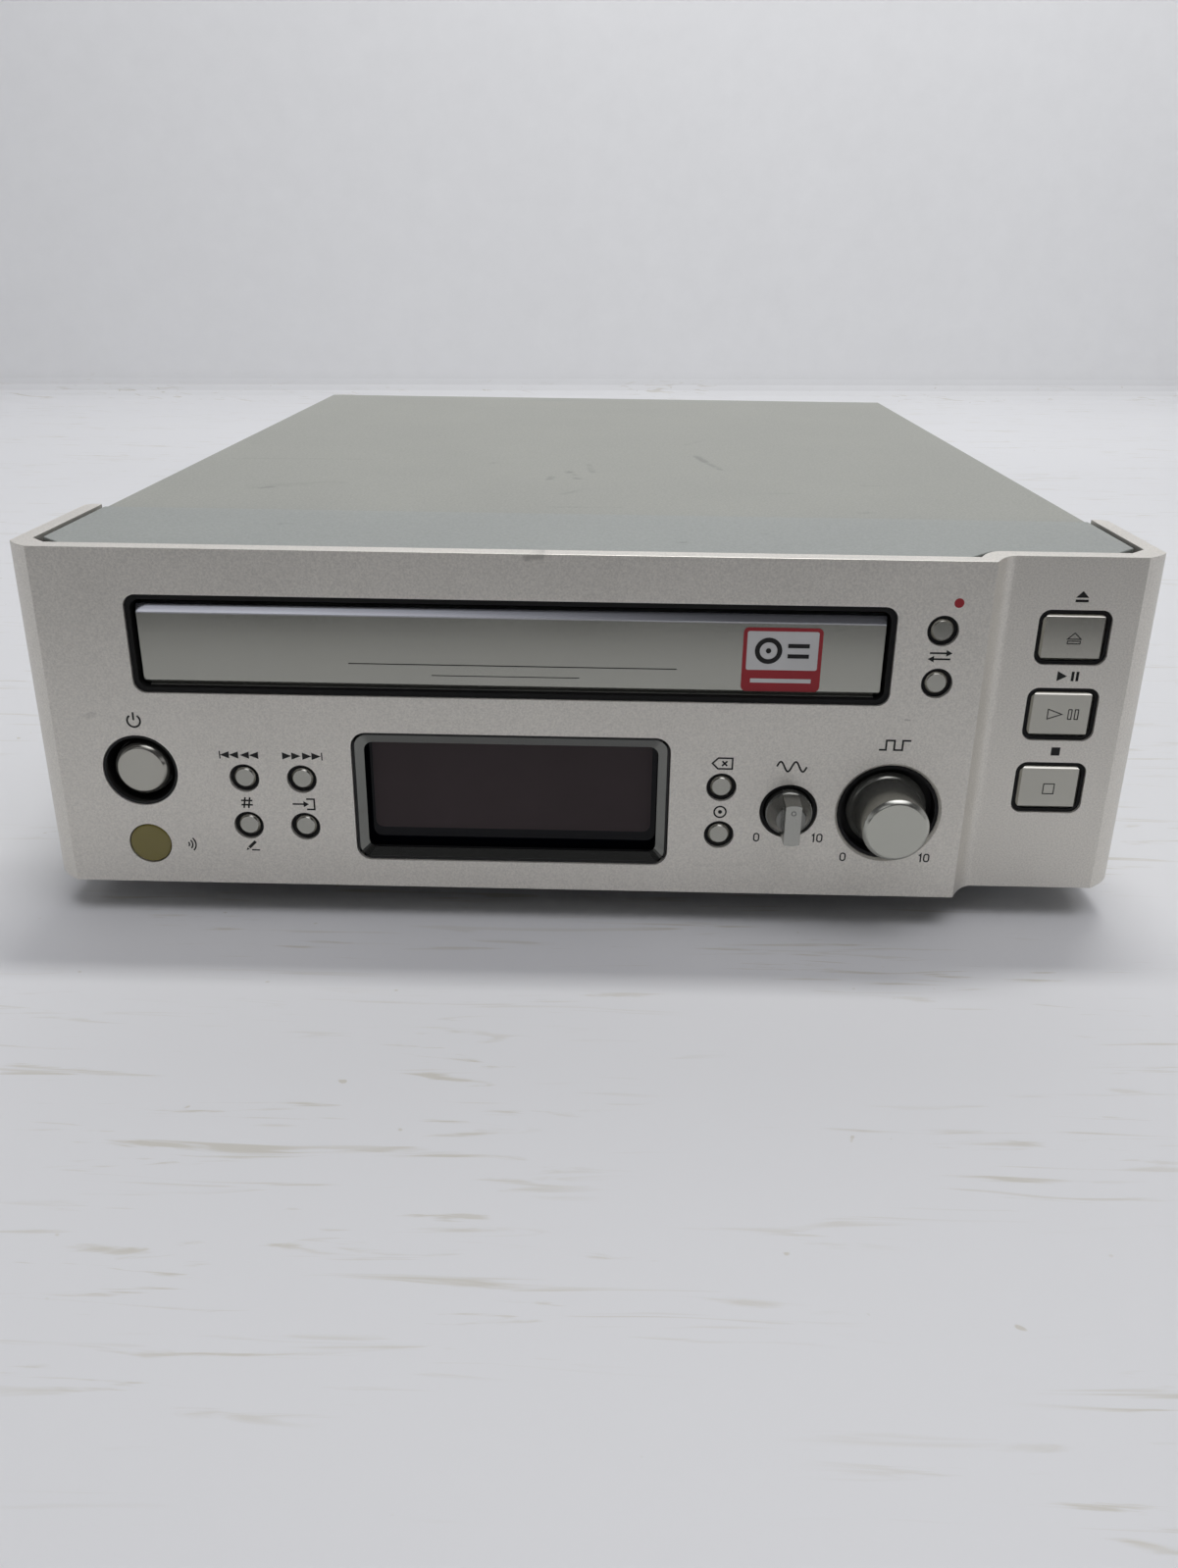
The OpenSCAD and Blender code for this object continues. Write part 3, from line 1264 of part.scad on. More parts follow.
module power_board() color("#7a5a2e") slab(power_x0, power_x1, power_y0, power_y1, main_z, main_top);

coil_out = 2.5;
coil_room = 1.95;
core_w = power_w - 2 * (coil_out + coil_room);
core_len = 46;
core_h = 38;
limb = 8;
core_y = power_y0 + 20;

module transformer_core() color("#6a6c70") translate([power_mid, core_y, main_top]) difference() {
    slab(-core_w / 2, core_w / 2, 0, core_len, 0, core_h);
    for (y = [limb, core_len / 2 + limb])
        slab(-core_w, core_w, y, y + core_len / 2 - 2 * limb, limb, core_h - limb);
}

coil_gap = 0.3;

module transformer_coil() color("#8a4b22") translate([power_mid, core_y, main_top]) difference() {
    slab(-core_w / 2 - coil_out, core_w / 2 + coil_out, limb + coil_gap, core_len - limb - coil_gap,
        limb + coil_gap, core_h - limb - coil_gap);
    slab(-core_w / 2, core_w / 2, core_len / 2 - limb, core_len / 2 + limb, limb, core_h - limb);
}

bulk_d = 12;
bulk_h = 26;
bulk_gap = 8;
bulk_y = core_y + core_len + bulk_gap + bulk_d / 2;
bulk_pitch = bulk_d + 1;
filter_d = 14;
filter_gap = 3;
filter_y = bulk_y + bulk_pitch + bulk_d / 2 + filter_gap + filter_d / 2;
sink_y = filter_y + filter_d;
sink_room = 5.45;
sink_w = power_w - 2 * sink_room;
sink_h = 30;
sink_t = 3;
sink_reach = 14;
sink_fins = 6;
fin_t = 1.5;
fin_pitch = (sink_w - fin_t) / (sink_fins - 1);

module power_parts() color("#2b2d33") {
    for (y = [bulk_y, bulk_y + bulk_pitch])
        z_bar(power_mid, y, main_top, main_top + bulk_h, bulk_d);
    z_bar(power_mid, filter_y, main_top, main_top + sink_h, filter_d);
    translate([power_mid - sink_w / 2, sink_y, main_top]) {
        cube([sink_w, sink_t, sink_h]);
        for (i = [0:sink_fins - 1])
            translate([i * fin_pitch, sink_t - root, 0]) cube([fin_t, sink_reach - sink_t + root, sink_h]);
    }
}

jack_rise = 9;
jack_z = main_top + jack_rise;
jack_edge = 12.4;
jack_pair_gap = 18;
jack_x = tray_x - main_hw + jack_edge;
jack_xs = [jack_x, jack_x + jack_pair_gap];
jack_body_w = 13;
jack_body_d = 14;
jack_places = [for (x = jack_xs, row = [0, 1]) [x, jack_z + row * jack_pitch]];
jack_pin_d = 3.3;

module phono_jacks() color("#191919") {
    for (x = jack_xs)
        slab(x - jack_body_w / 2, x + jack_body_w / 2, rear_y - jack_body_d, rear_y,
            main_top, jack_z + jack_pitch + jack_body_w / 2);
    for (p = jack_places) difference() {
        union() {
            y_bar(p.x, p.y, rear_y - root, rear_back + 1.2, jack_d + 2);
            y_bar(p.x, p.y, rear_y, rear_back + jack_out, jack_d);
        }
        y_bar(p.x, p.y, rear_back + over, rear_back + jack_out + 1, jack_pin_d);
    }
}

optical_w = 10.4;
optical_h = 10.4;
optical_r = 1;
optical_out = 0.8;
optical_mouth = 6.4;
optical_deep = 8;
socket_fit = 0.1;
optical_left = 12;
optical_pitch = 16;
optical_body = 12;
optical_xs = [tray_x - optical_left, tray_x - optical_left + optical_pitch];

module optical_sockets() color("#141414") for (x = optical_xs) translate([x, 0, 0]) difference() {
    union() {
        slab(-optical_body / 2, optical_body / 2, rear_y - optical_body, rear_y,
            main_top, jack_z + optical_body / 2);
        translate([0, 0, jack_z]) front_extrude(rear_y - root, rear_back + optical_out)
            round_rect(optical_w, optical_h, optical_r);
    }
    translate([0, 0, jack_z]) front_extrude(rear_y - optical_deep, rear_back + optical_out + over)
        round_rect(optical_mouth, optical_mouth, optical_r / 2);
}

inlet_x = power_mid;
inlet_z = main_top + 12;
inlet_w = 20;
inlet_h = 11;
inlet_d = 20;
inlet_wall = 1.5;
inlet_out = 1.5;
inlet_deep = 12;
inlet_mouth = 7.4;
inlet_waist = 6;
inlet_pin_d = 2.4;
inlet_pin_gap = 8.6;

module mains_inlet() color("#151515") translate([inlet_x, 0, inlet_z]) {
    difference() {
        union() {
            slab(-inlet_w / 2 - inlet_wall, inlet_w / 2 + inlet_wall, rear_y - inlet_d, rear_y,
                -inlet_h / 2 - 2 * inlet_wall, inlet_h / 2 + 2 * inlet_wall);
            front_extrude(rear_y - root, rear_back + inlet_out)
                round_rect(inlet_w, inlet_h, inlet_h / 2 - 0.01);
        }
        front_extrude(rear_y - inlet_deep, rear_back + inlet_out + over) {
            for (sx = [-1, 1]) translate([sx * inlet_pin_gap / 2, 0]) circle(d = inlet_mouth);
            square([inlet_pin_gap, inlet_waist], center = true);
        }
    }
    for (sx = [-1, 1])
        y_bar(sx * inlet_pin_gap / 2, 0, rear_y - inlet_deep - root, rear_y - sheet_t, inlet_pin_d);
}

place() front_panel();
place() front_frame();
place() top_rail();
place() top_cover();
place() bottom_chassis();
place() rear_panel();
place() feet();
place() case_screws();
place() display_surround();
place() display_window();
place() display_tube();
place() key_board();
place() key_switches();
place() ir_window();
place() ir_receiver();
place() level_controls();
place() main_board();
place() main_board_parts();
place() power_board();
place() power_parts();
place() transformer_core();
place() transformer_coil();
place() phono_jacks();
place() optical_sockets();
place() mains_inlet();
place() loader_frame();
place() loader_brackets();
place() clamp_bridge();
place() loading_motor();
place() loading_belt();
place() disc_tray();
place() tray_door();
place() clamper();
place() motor_pulley();
place() pulley_gear();
place() tray_gear();
place() traverse_base();
place() guide_rods();
place() traverse_motors();
place() lift_slider();
place() turntable();
place() pickup();
place() pickup_lens();
place() sled_screw();
place() standby_key();
place() skip_back_key();
place() skip_forward_key();
place() track_key();
place() input_key();
place() erase_key();
place() finalize_key();
place() record_key();
place() sync_key();
place() open_key();
place() play_key();
place() stop_key();
place() analog_knob();
place() digital_knob();
place() analog_shaft();
place() digital_shaft();
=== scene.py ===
# %% [markdown]
# # Dressing a disc recorder
# The recorder arrives as a frame of separate solids, already at their real size and in their
# real places. This lesson only adds looks: finishes, printed marks and small fittings. Nothing
# in the frame is moved, so every new piece takes its place from the frame's own boxes.

# %% Load the frame
import json
import math

import bmesh
import bpy
from mathutils import Matrix, Vector


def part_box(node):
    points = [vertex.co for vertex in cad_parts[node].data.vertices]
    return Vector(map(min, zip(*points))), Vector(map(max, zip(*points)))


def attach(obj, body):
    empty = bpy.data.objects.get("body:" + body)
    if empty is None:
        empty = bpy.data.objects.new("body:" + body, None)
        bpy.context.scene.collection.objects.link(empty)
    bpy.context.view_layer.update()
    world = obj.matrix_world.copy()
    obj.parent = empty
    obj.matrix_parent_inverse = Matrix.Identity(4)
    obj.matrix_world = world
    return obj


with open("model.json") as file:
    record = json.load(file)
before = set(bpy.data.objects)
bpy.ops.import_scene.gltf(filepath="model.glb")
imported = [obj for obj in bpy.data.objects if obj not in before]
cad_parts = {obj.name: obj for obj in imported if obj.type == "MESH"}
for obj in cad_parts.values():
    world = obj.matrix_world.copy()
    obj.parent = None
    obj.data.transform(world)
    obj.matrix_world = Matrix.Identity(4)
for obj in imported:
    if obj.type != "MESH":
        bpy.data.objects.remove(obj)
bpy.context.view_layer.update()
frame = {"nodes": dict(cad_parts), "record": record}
nodes = frame["nodes"]
MM = 0.001

# %% [markdown]
# ## The camera
# A phone held close gives a wide lens and strong perspective: the back edge of the lid looks
# half as wide as the front. Guessing that by eye never quite fits, so the place, tilt and lens
# below come from lining up the panel's corners. The frame is 1201 by 1599, and the sensor width
# belongs to the longer side.

# %% Camera
FRAME_LONG = 1599
FOCAL_PX = 1286.1
CAMERA_AT = Vector((4.4, -361.0, 125.2)) * MM
TILT, PAN, ROLL = 0.398, 0.024, 0.021

lens = bpy.data.cameras.new("camera")
lens.sensor_width = 36
lens.lens = lens.sensor_width * FOCAL_PX / FRAME_LONG
lens.clip_start = 0.01
camera = bpy.data.objects.new("camera", lens)
bpy.context.scene.collection.objects.link(camera)
turn = Matrix.Rotation(PAN, 3, "Y") @ Matrix.Rotation(TILT, 3, "X") @ Matrix.Rotation(ROLL, 3, "Z")
right, down, ahead = (Vector((row[0], row[2], -row[1])) for row in turn)
facing = Matrix((right, -down, -ahead)).transposed()
camera.matrix_world = Matrix.Translation(CAMERA_AT) @ facing.to_4x4()
bpy.context.scene.camera = camera
print("lens", round(lens.lens, 2), "mm, looking", [round(v, 3) for v in ahead])

# %% [markdown]
# ## Shader sums as Python
# A finish is a small sum: grain plus clouds, times wear. Wiring that by hand hides the idea, so
# one class wraps an output socket and lets ordinary operators add the Math nodes. Anything that
# is not arithmetic comes from its one `node` method: type, settings first, then sockets.

# %% The socket wrapper
class Wire:
    """An output socket that takes part in sums."""

    def __init__(self, tree, socket):
        self.tree = tree
        self.socket = socket

    def node(self, kind, settings, links, out=0):
        made = self.tree.nodes.new(kind)
        for name, value in settings.items():
            setattr(made, name, value)
        for key, value in links.items():
            plug(self.tree, made.inputs[key], value)
        return Wire(self.tree, made.outputs[out])

    def math(self, operation, *values):
        return self.node("ShaderNodeMath", {"operation": operation}, dict(enumerate(values)))

    def vector(self, operation, *values, out=0):
        links = dict(enumerate(values))
        return self.node("ShaderNodeVectorMath", {"operation": operation}, links, out)

    def __add__(self, other):
        return self.math("ADD", self, other)

    def __sub__(self, other):
        return self.math("SUBTRACT", self, other)

    def __rsub__(self, other):
        return self.math("SUBTRACT", other, self)

    def __mul__(self, other):
        return self.math("MULTIPLY", self, other)

    def __truediv__(self, other):
        return self.math("DIVIDE", self, other)

    __radd__ = __add__
    __rmul__ = __mul__

    def clamp(self, low=0.0, high=1.0):
        return self.math("MINIMUM", self.math("MAXIMUM", self, low), high)

    def smooth(self, low, high):
        """0 below low, 1 above high, eased between."""
        return self.node("ShaderNodeMapRange", {"interpolation_type": "SMOOTHSTEP"},
                         {"Value": self, "From Min": low, "From Max": high})


def plug(tree, socket, value):
    """Sets a socket to a number or colour, or links a wire to it."""
    if isinstance(value, Wire):
        tree.links.new(value.socket, socket)
    elif hasattr(value, "__len__") and len(value) == 3 and socket.type == "RGBA":
        socket.default_value = (*value, 1)
    else:
        socket.default_value = value


# %% A finish and its parts
class Finish:
    """One material: its shader, the piece's own coordinates, and the patterns built on them."""

    def __init__(self, name, **constants):
        self.material = bpy.data.materials.new(name)
        self.material.use_nodes = True
        self.tree = self.material.node_tree
        self.shader = next(n for n in self.tree.nodes if n.type == "BSDF_PRINCIPLED")
        self.set(**constants)
        coordinates = self.tree.nodes.new("ShaderNodeTexCoord")
        self.place = Wire(self.tree, coordinates.outputs["Object"])

    def set(self, **values):
        for name, value in values.items():
            plug(self.tree, self.shader.inputs[name.replace("_", " ")], value)

    def colour(self):
        """The colour that has been wired so far, to be mixed further."""
        return Wire(self.tree, self.shader.inputs["Base Color"].links[0].from_socket)

    def noise(self, size, detail=2.0, rough=0.5, stretch=(1, 1, 1), bend=0.0):
        """Cloudy 0 to 1 pattern whose features are about `size` metres across."""
        place = self.place.vector("MULTIPLY", self.place, stretch)
        return self.place.node("ShaderNodeTexNoise", {}, {
            "Vector": place, "Scale": 1 / size, "Detail": detail, "Roughness": rough,
            "Distortion": bend})

    def axis(self, letter):
        links = {"Vector": self.place}
        return self.place.node("ShaderNodeSeparateXYZ", {}, links, "XYZ".index(letter))

    def mix(self, share, low, high):
        """Colour between low and high by a 0 to 1 share."""
        return self.place.node("ShaderNodeMix", {"data_type": "RGBA"},
                               {"Factor": share, 6: low, 7: high}, 2)

    def bump(self, height, depth, strength=1.0):
        self.set(Normal=self.place.node("ShaderNodeBump", {}, {
            "Height": height, "Distance": depth, "Strength": strength}))

    def rub(self, start, end, width, plane, soft=0.2):
        """1 along a straight rub between two points, in millimetres on a plane such as "XY"."""
        a, b = ([0.0, 0.0, 0.0] for _ in range(2))
        keep = [0.0, 0.0, 0.0]
        for letter, from_mm, to_mm in zip(plane, start, end):
            index = "XYZ".index(letter)
            a[index], b[index], keep[index] = from_mm * MM, to_mm * MM, 1.0
        run = Vector(b) - Vector(a)
        here = self.place.vector("MULTIPLY", self.place, keep)
        gone = here.vector("SUBTRACT", here, a)
        along = gone.vector("DOT_PRODUCT", gone, run, out=1)
        share = (along / max(run.length_squared, 1e-12)).clamp()
        nearest = here.node("ShaderNodeVectorMath", {"operation": "SCALE"}, {0: run, 3: share})
        away = gone.vector("SUBTRACT", gone, nearest)
        return 1 - away.vector("LENGTH", away, out=1).smooth(width * MM * soft, width * MM)


# %% [markdown]
# ## Blasted, anodised aluminium
# The panel and the key caps are aluminium that was blasted with fine beads and anodised a pale
# warm silver. It could be a flat grey metal, but then it looks like plastic: the real face has a
# fine sparkle of grain, slow clouds in tone, and a few rubbed marks.

# %% Aluminium
def aluminium(name, colour, roughness, contrast=0.3, metallic=0.85, grit=0.0, rubs=()):
    made = Finish(name, Metallic=metallic, IOR=1.5)
    speckle = made.noise(0.00035, 2, 0.6)
    drift = made.noise(0.02, 3)
    tone = (speckle - 0.5) * contrast + (drift - 0.5) * 0.22 + 0.5
    for start, end, width, depth in rubs:
        tone = tone - made.rub(start, end, width, "XZ") * depth
    dark = [c * 0.72 for c in colour]
    pale = [c * 1.28 for c in colour]
    made.set(Base_Color=made.mix(tone.clamp(), dark, pale))
    made.set(Roughness=(roughness + (speckle - 0.5) * 0.12 + (drift - 0.5) * 0.06).clamp())
    if grit:
        made.bump(made.noise(0.0003, 1), 0.00002, grit)
    return made


PANEL_RUBS = (
    ((-11.5, 74.2), (-8.5, 74.6), 0.8, 0.5),
    ((22.0, 13.0), (33.0, 13.6), 0.5, 0.10),
    ((60.2, 44.6), (61.0, 44.5), 0.3, 0.5),
    ((-96.0, 42.2), (-94.6, 42.8), 0.9, 0.25),
)

# %% [markdown]
# ## Two faces on one piece
# The door's leaning top strip is painted paler and colder than its face, brighter towards its lower
# edge:
# a painted reflection of the bright room above. The analog knob's pointer is barer metal than its
# dish.
# They could be pieces of their own, but a change of tone by place keeps each one a single part.

# %% Door and knob
STRIP_TALL = 1.65 * MM
# colours of the painted reflection on the door's top strip: paler near its lower edge, greyer at
# its top
STRIP_REFLECTION_LOW, STRIP_REFLECTION_HIGH = (0.80, 0.81, 0.86), (0.55, 0.56, 0.61)
POINTER_HALF = 1.45 * MM
POINTER_BARE = (0.40, 0.40, 0.37)


def middle(name):
    low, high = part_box(name)
    return (low + high) / 2


def door_finish():
    made = aluminium("door_aluminium", (0.40, 0.398, 0.357), 0.17, 0.5)
    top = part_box("tray_door")[1].z
    height = made.axis("Z")
    strip = height.smooth(top - STRIP_TALL - 0.1 * MM, top - STRIP_TALL + 0.1 * MM)
    # painted reflection of the bright room above: the strip is paler and colder than the face, and
    # brighter towards its lower edge
    painted_reflection = made.mix(height.smooth(top - 1.5 * MM, top - 0.5 * MM), STRIP_REFLECTION_LOW, STRIP_REFLECTION_HIGH)
    made.set(Base_Color=made.mix(strip, made.colour(), painted_reflection))
    return made


def pointer_finish():
    made = aluminium("knob_paint", (0.20, 0.20, 0.187), 0.25, 0.12)
    aside = made.axis("X") - middle("analog_knob").x
    share = 1 - aside.math("ABSOLUTE", aside).smooth(POINTER_HALF, POINTER_HALF + 0.15 * MM)
    made.set(Base_Color=made.mix(share, made.colour(), POINTER_BARE))
    return made


# %% [markdown]
# ## Moulded plastic
# The frame, surround, sockets and gears are injection moulded. Their skin is never quite even, so
# a slow drift moves both the tone and the gloss, over a very shallow moulded texture.

# %% Plastic
def plastic(name, colour, roughness, specular=0.5, depth=0.00002):
    made = Finish(name, IOR=1.46, Specular_IOR_Level=specular)
    drift = made.noise(0.015, 3)
    pale = [c * 1.3 + 0.001 for c in colour]
    made.set(Base_Color=made.mix(drift, colour, pale))
    made.set(Roughness=(roughness + (drift - 0.5) * 0.12).clamp())
    if depth:
        made.bump(made.noise(0.0004, 2), depth, 0.4)
    return made


def frame_plastic():
    """Matt black, but glossy in the dished well of the standby key."""
    made = plastic("frame_plastic", (0.003, 0.003, 0.003), 0.5, 0.3, 0)
    at = middle("standby_key") / MM
    well = made.rub((at.x, at.z), (at.x, at.z + 0.01), 9, "XZ", 0.9)
    grain = made.noise(0.0004, 2)
    made.set(Roughness=(0.55 - well * 0.43 + (grain - 0.5) * 0.05).clamp())
    return made


JACK_BLACK, JACK_PLATED = (0.012, 0.012, 0.012), (0.62, 0.60, 0.55)
JACK_WHITE, JACK_RED = (0.60, 0.60, 0.58), (0.35, 0.012, 0.015)
JACK_IN = 6.5
JACK_PITCH = 14.0
SLEEVE_LONG = 7.7
INSULATOR_R = 3.1


def box_mm(name):
    """A piece's low and high corner in millimetres."""
    return [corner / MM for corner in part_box(name)]


def jack_finish():
    """Black bodies, plated sleeves, and white and red insulators in the sleeves' ends."""
    made = plastic("jack_plastic", JACK_BLACK, 0.4)
    low, high = box_mm("phono_jacks")
    depth = made.axis("Y")
    sleeve = depth.smooth((high.y - SLEEVE_LONG) * MM, (high.y - SLEEVE_LONG + 0.1) * MM)
    ends = depth.smooth((high.y - 0.5) * MM, (high.y - 0.4) * MM)
    paint, rings = made.mix(sleeve, JACK_BLACK, JACK_PLATED), 0.0
    for z, colour in ((high.z - JACK_IN, JACK_WHITE), (high.z - JACK_IN - JACK_PITCH, JACK_RED)):
        row = sum(made.rub((x, z), (x, z + 0.01), INSULATOR_R, "XZ", 0.97)
                  for x in (low.x + JACK_IN, high.x - JACK_IN)) * ends
        paint, rings = made.mix(row, paint, colour), row + rings
    made.set(Base_Color=paint, Metallic=(sleeve - rings).clamp())
    return made


# %% [markdown]
# ## Bare and plated metal
# Sheet and turned parts show fine lines from rolling or turning. Stretched noise gives the lines,
# and the same noise moves the gloss, so a highlight breaks up along them.

# %% Metal
def metal(name, colour, roughness, stretch=(1, 1, 1), size=0.0012):
    made = Finish(name, Metallic=1.0)
    lines = made.noise(size, 3, 0.6, stretch)
    drift = made.noise(0.012, 3)
    dark = [c * 0.8 for c in colour]
    made.set(Base_Color=made.mix((lines * 0.5 + drift * 0.5).clamp(), dark, colour))
    made.set(Roughness=(roughness + (lines - 0.5) * 0.14).clamp())
    return made


# %% [markdown]
# ## A painted lid that has been used
# The lid is sprayed a matt grey. It has been stacked and slid about, so it carries dark curved
# rubs, a few specks and a dusty bloom. Each rub is a soft line at its own place on the lid; noise
# breaks it up so that it doesn't look drawn.

# %% Painted lid
def painted(name, colour, roughness, rubs, metallic=0.0):
    made = Finish(name, IOR=1.45, Metallic=metallic)
    speckle = made.noise(0.0005, 2, 0.6)
    drift = made.noise(0.035, 4)
    patch = made.noise(0.006, 3)
    tone = (speckle - 0.5) * 1.0 + (drift - 0.5) * 0.34 + 0.5
    worn = None
    for start, end, width, depth in rubs:
        one = made.rub(start, end, width, "XY") * depth
        worn = one if worn is None else worn + one
    tone = tone - worn * patch.smooth(0.35, 0.6)
    dark = [c * 0.7 for c in colour]
    pale = [c * 1.3 for c in colour]
    made.set(Base_Color=made.mix(tone.clamp(), dark, pale))
    made.set(Roughness=(roughness + (drift - 0.5) * 0.14).clamp())
    made.bump(speckle, 0.00002, 0.35)
    return made


LID_RUBS = (
    ((26.5, -8.0), (28.3, -18.0), 1.6, 0.55), ((28.3, -18.0), (31.4, -31.0), 1.3, 0.35),
    ((24.0, 12.0), (33.0, 30.0), 1.5, 0.16), ((-7.2, -38.0), (-4.6, -48.0), 1.7, 0.55),
    ((-11.6, -50.0), (-11.0, -46.0), 1.4, 0.40), ((-2.6, -26.0), (-1.2, -38.0), 1.4, 0.30),
    ((-7.5, -70.0), (-2.0, -62.0), 1.2, 0.28), ((-27.8, -25.8), (-27.4, -25.2), 1.5, 0.80),
    ((-78.5, -66.0), (-62.0, -60.0), 4.5, 0.16), ((-77.0, -68.0), (-75.0, -66.0), 1.3, 0.40),
    ((-96.0, -24.0), (-60.0, -22.0), 1.1, 0.14), ((56.0, -87.5), (60.5, -86.8), 1.1, 0.50),
    ((-12.0, -86.0), (6.0, -85.0), 0.9, 0.20), ((64.0, -52.0), (74.0, -52.5), 1.1, 0.18),
    ((38.0, -66.0), (46.0, -64.0), 2.0, 0.14),
)
RAIL_RUBS = (
    ((16.6, -122.6), (17.9, -122.0), 0.9, 0.55), ((-61.9, -110.9), (-61.2, -110.4), 1.0, 0.50),
    ((32.0, -113.0), (34.5, -113.2), 0.8, 0.40),
)

# %% [markdown]
# ## One finish per slot
# Every solid in the frame names the finish it should have. A table from that name to a finish
# dresses all of them at once, inside and out. Only the jacks, which show three materials, and the
# small keys, which are anodised a little darker, get a finish of their own.

# %% All finishes
FINISHES = {
    "panel_silver": aluminium("blasted_aluminium", (0.742, 0.714, 0.656), 0.42,
                              1.0, 0.6, 0.15, PANEL_RUBS),
    "key_silver": aluminium("key_aluminium", (0.435, 0.425, 0.38), 0.17, 0.12),
    "small_key": aluminium("small_key_aluminium", (0.39, 0.385, 0.347), 0.17, 0.12),
    "door_silver": door_finish(),
    "knob_silver": aluminium("knob_aluminium", (0.483, 0.483, 0.435), 0.2, 0.15),
    "knob_grey": pointer_finish(),
    "frame_black": frame_plastic(),
    "rail_grey": painted("rail_paint", (0.315, 0.334, 0.311), 0.42, RAIL_RUBS, 0.15),
    "cover_grey": painted("cover_paint", (0.352, 0.357, 0.318), 0.55, LID_RUBS),
    "surround_grey": plastic("surround_plastic", (0.006, 0.006, 0.006), 0.35, 0.4, 0),
    "window_black": plastic("window_glass", (0.0010, 0.0014, 0.0030), 0.05, 0.2, 0),
    "ir_olive": plastic("ir_plastic", (0.18, 0.152, 0.042), 0.2),
    "foot_rubber": plastic("foot_rubber", (0.012, 0.012, 0.012), 0.7),
    "chassis_zinc": metal("zinc_sheet", (0.55, 0.56, 0.57), 0.42),
    "screw_steel": metal("screw_steel", (0.16, 0.16, 0.17), 0.35),
    "tube_glass": plastic("tube_glass", (0.03, 0.04, 0.04), 0.1),
    "board_tan": plastic("board_tan", (0.22, 0.13, 0.05), 0.5),
    "board_green": plastic("board_green", (0.015, 0.09, 0.03), 0.4),
    "part_black": plastic("part_black", (0.012, 0.012, 0.013), 0.4),
    "tray_black": plastic("tray_black", (0.012, 0.0125, 0.014), 0.45),
    "bright_steel": metal("bright_steel", (0.62, 0.63, 0.64), 0.22),
    "motor_can": metal("motor_can", (0.45, 0.46, 0.47), 0.3),
    "gear_white": plastic("gear_white", (0.68, 0.67, 0.61), 0.42),
    "belt_rubber": plastic("belt_rubber", (0.010, 0.010, 0.010), 0.6),
    "pulley_brass": metal("pulley_brass", (0.62, 0.47, 0.18), 0.28),
    "coil_wire": metal("coil_wire", (0.55, 0.26, 0.10), 0.35, (1, 1, 12)),
    "lens_blue": plastic("lens_blue", (0.05, 0.07, 0.20), 0.05),
    "socket_black": plastic("socket_black", (0.010, 0.010, 0.010), 0.4),
    "jack": jack_finish(),
}
slot_of = {part["node"]: part["material_slot"] for part in frame["record"]["subparts"]}
slot_of["phono_jacks"] = "jack"
SMALL_KEYS = ("skip_back", "skip_forward", "track", "input",
              "erase", "finalize", "record", "sync")
slot_of.update({f"{name}_key": "small_key" for name in SMALL_KEYS})
for name, piece in nodes.items():
    piece.data.materials.clear()
    piece.data.materials.append(FINISHES[slot_of[name]].material)
print("finishes", len(FINISHES), "on", len(nodes), "nodes")

# %% [markdown]
# ## Soft edges
# A knife-sharp edge never catches the light, which is why plain solids look computed. Real edges
# are broken by a few tenths of a millimetre. The solids arrive as triangles with split corners,
# so they are welded and their flat faces joined before a small bevel goes round each edge.

# %% Edge breaks
FLAT_ANGLE = math.radians(0.4)
EDGE_ANGLE = math.radians(32)


def break_edges(name, width):
    piece = nodes[name]
    weld = piece.modifiers.new("weld", "WELD")
    weld.merge_threshold = 1e-6
    flat = piece.modifiers.new("flat", "DECIMATE")
    flat.decimate_type = "DISSOLVE"
    flat.angle_limit = FLAT_ANGLE
    bevel = piece.modifiers.new("bevel", "BEVEL")
    bevel.width = width * MM
    bevel.segments = 2
    bevel.limit_method = "ANGLE"
    bevel.angle_limit = EDGE_ANGLE
    bevel.miter_outer = "MITER_ARC"
    normals = piece.modifiers.new("normals", "WEIGHTED_NORMAL")
    normals.keep_sharp = True


EDGES = {
    "front_panel": 0.22, "top_rail": 0.25, "top_cover": 0.30, "tray_door": 0.16,
    "display_surround": 0.12, "standby_key": 0.12, "analog_knob": 0.22, "digital_knob": 0.14,
    "open_key": 0.16, "play_key": 0.16, "stop_key": 0.16, "rear_panel": 0.15, "ir_window": 0.4,
}
for name, width in EDGES.items():
    break_edges(name, width)
print("edges broken on", len(EDGES), "nodes")

# %% [markdown]
# ## Marks that are pieces
# Printed marks could be a picture laid on the panel, but a picture blurs up close. Each mark here
# is a real sliver: its outline, a few hundredths of a millimetre thick, closed all round. Two
# shapes draw everything: a filled patch, and a stroke of even width along a line.

# %% A drawing on a face
INK_OUT = 0.00002
INK_IN = 0.00002


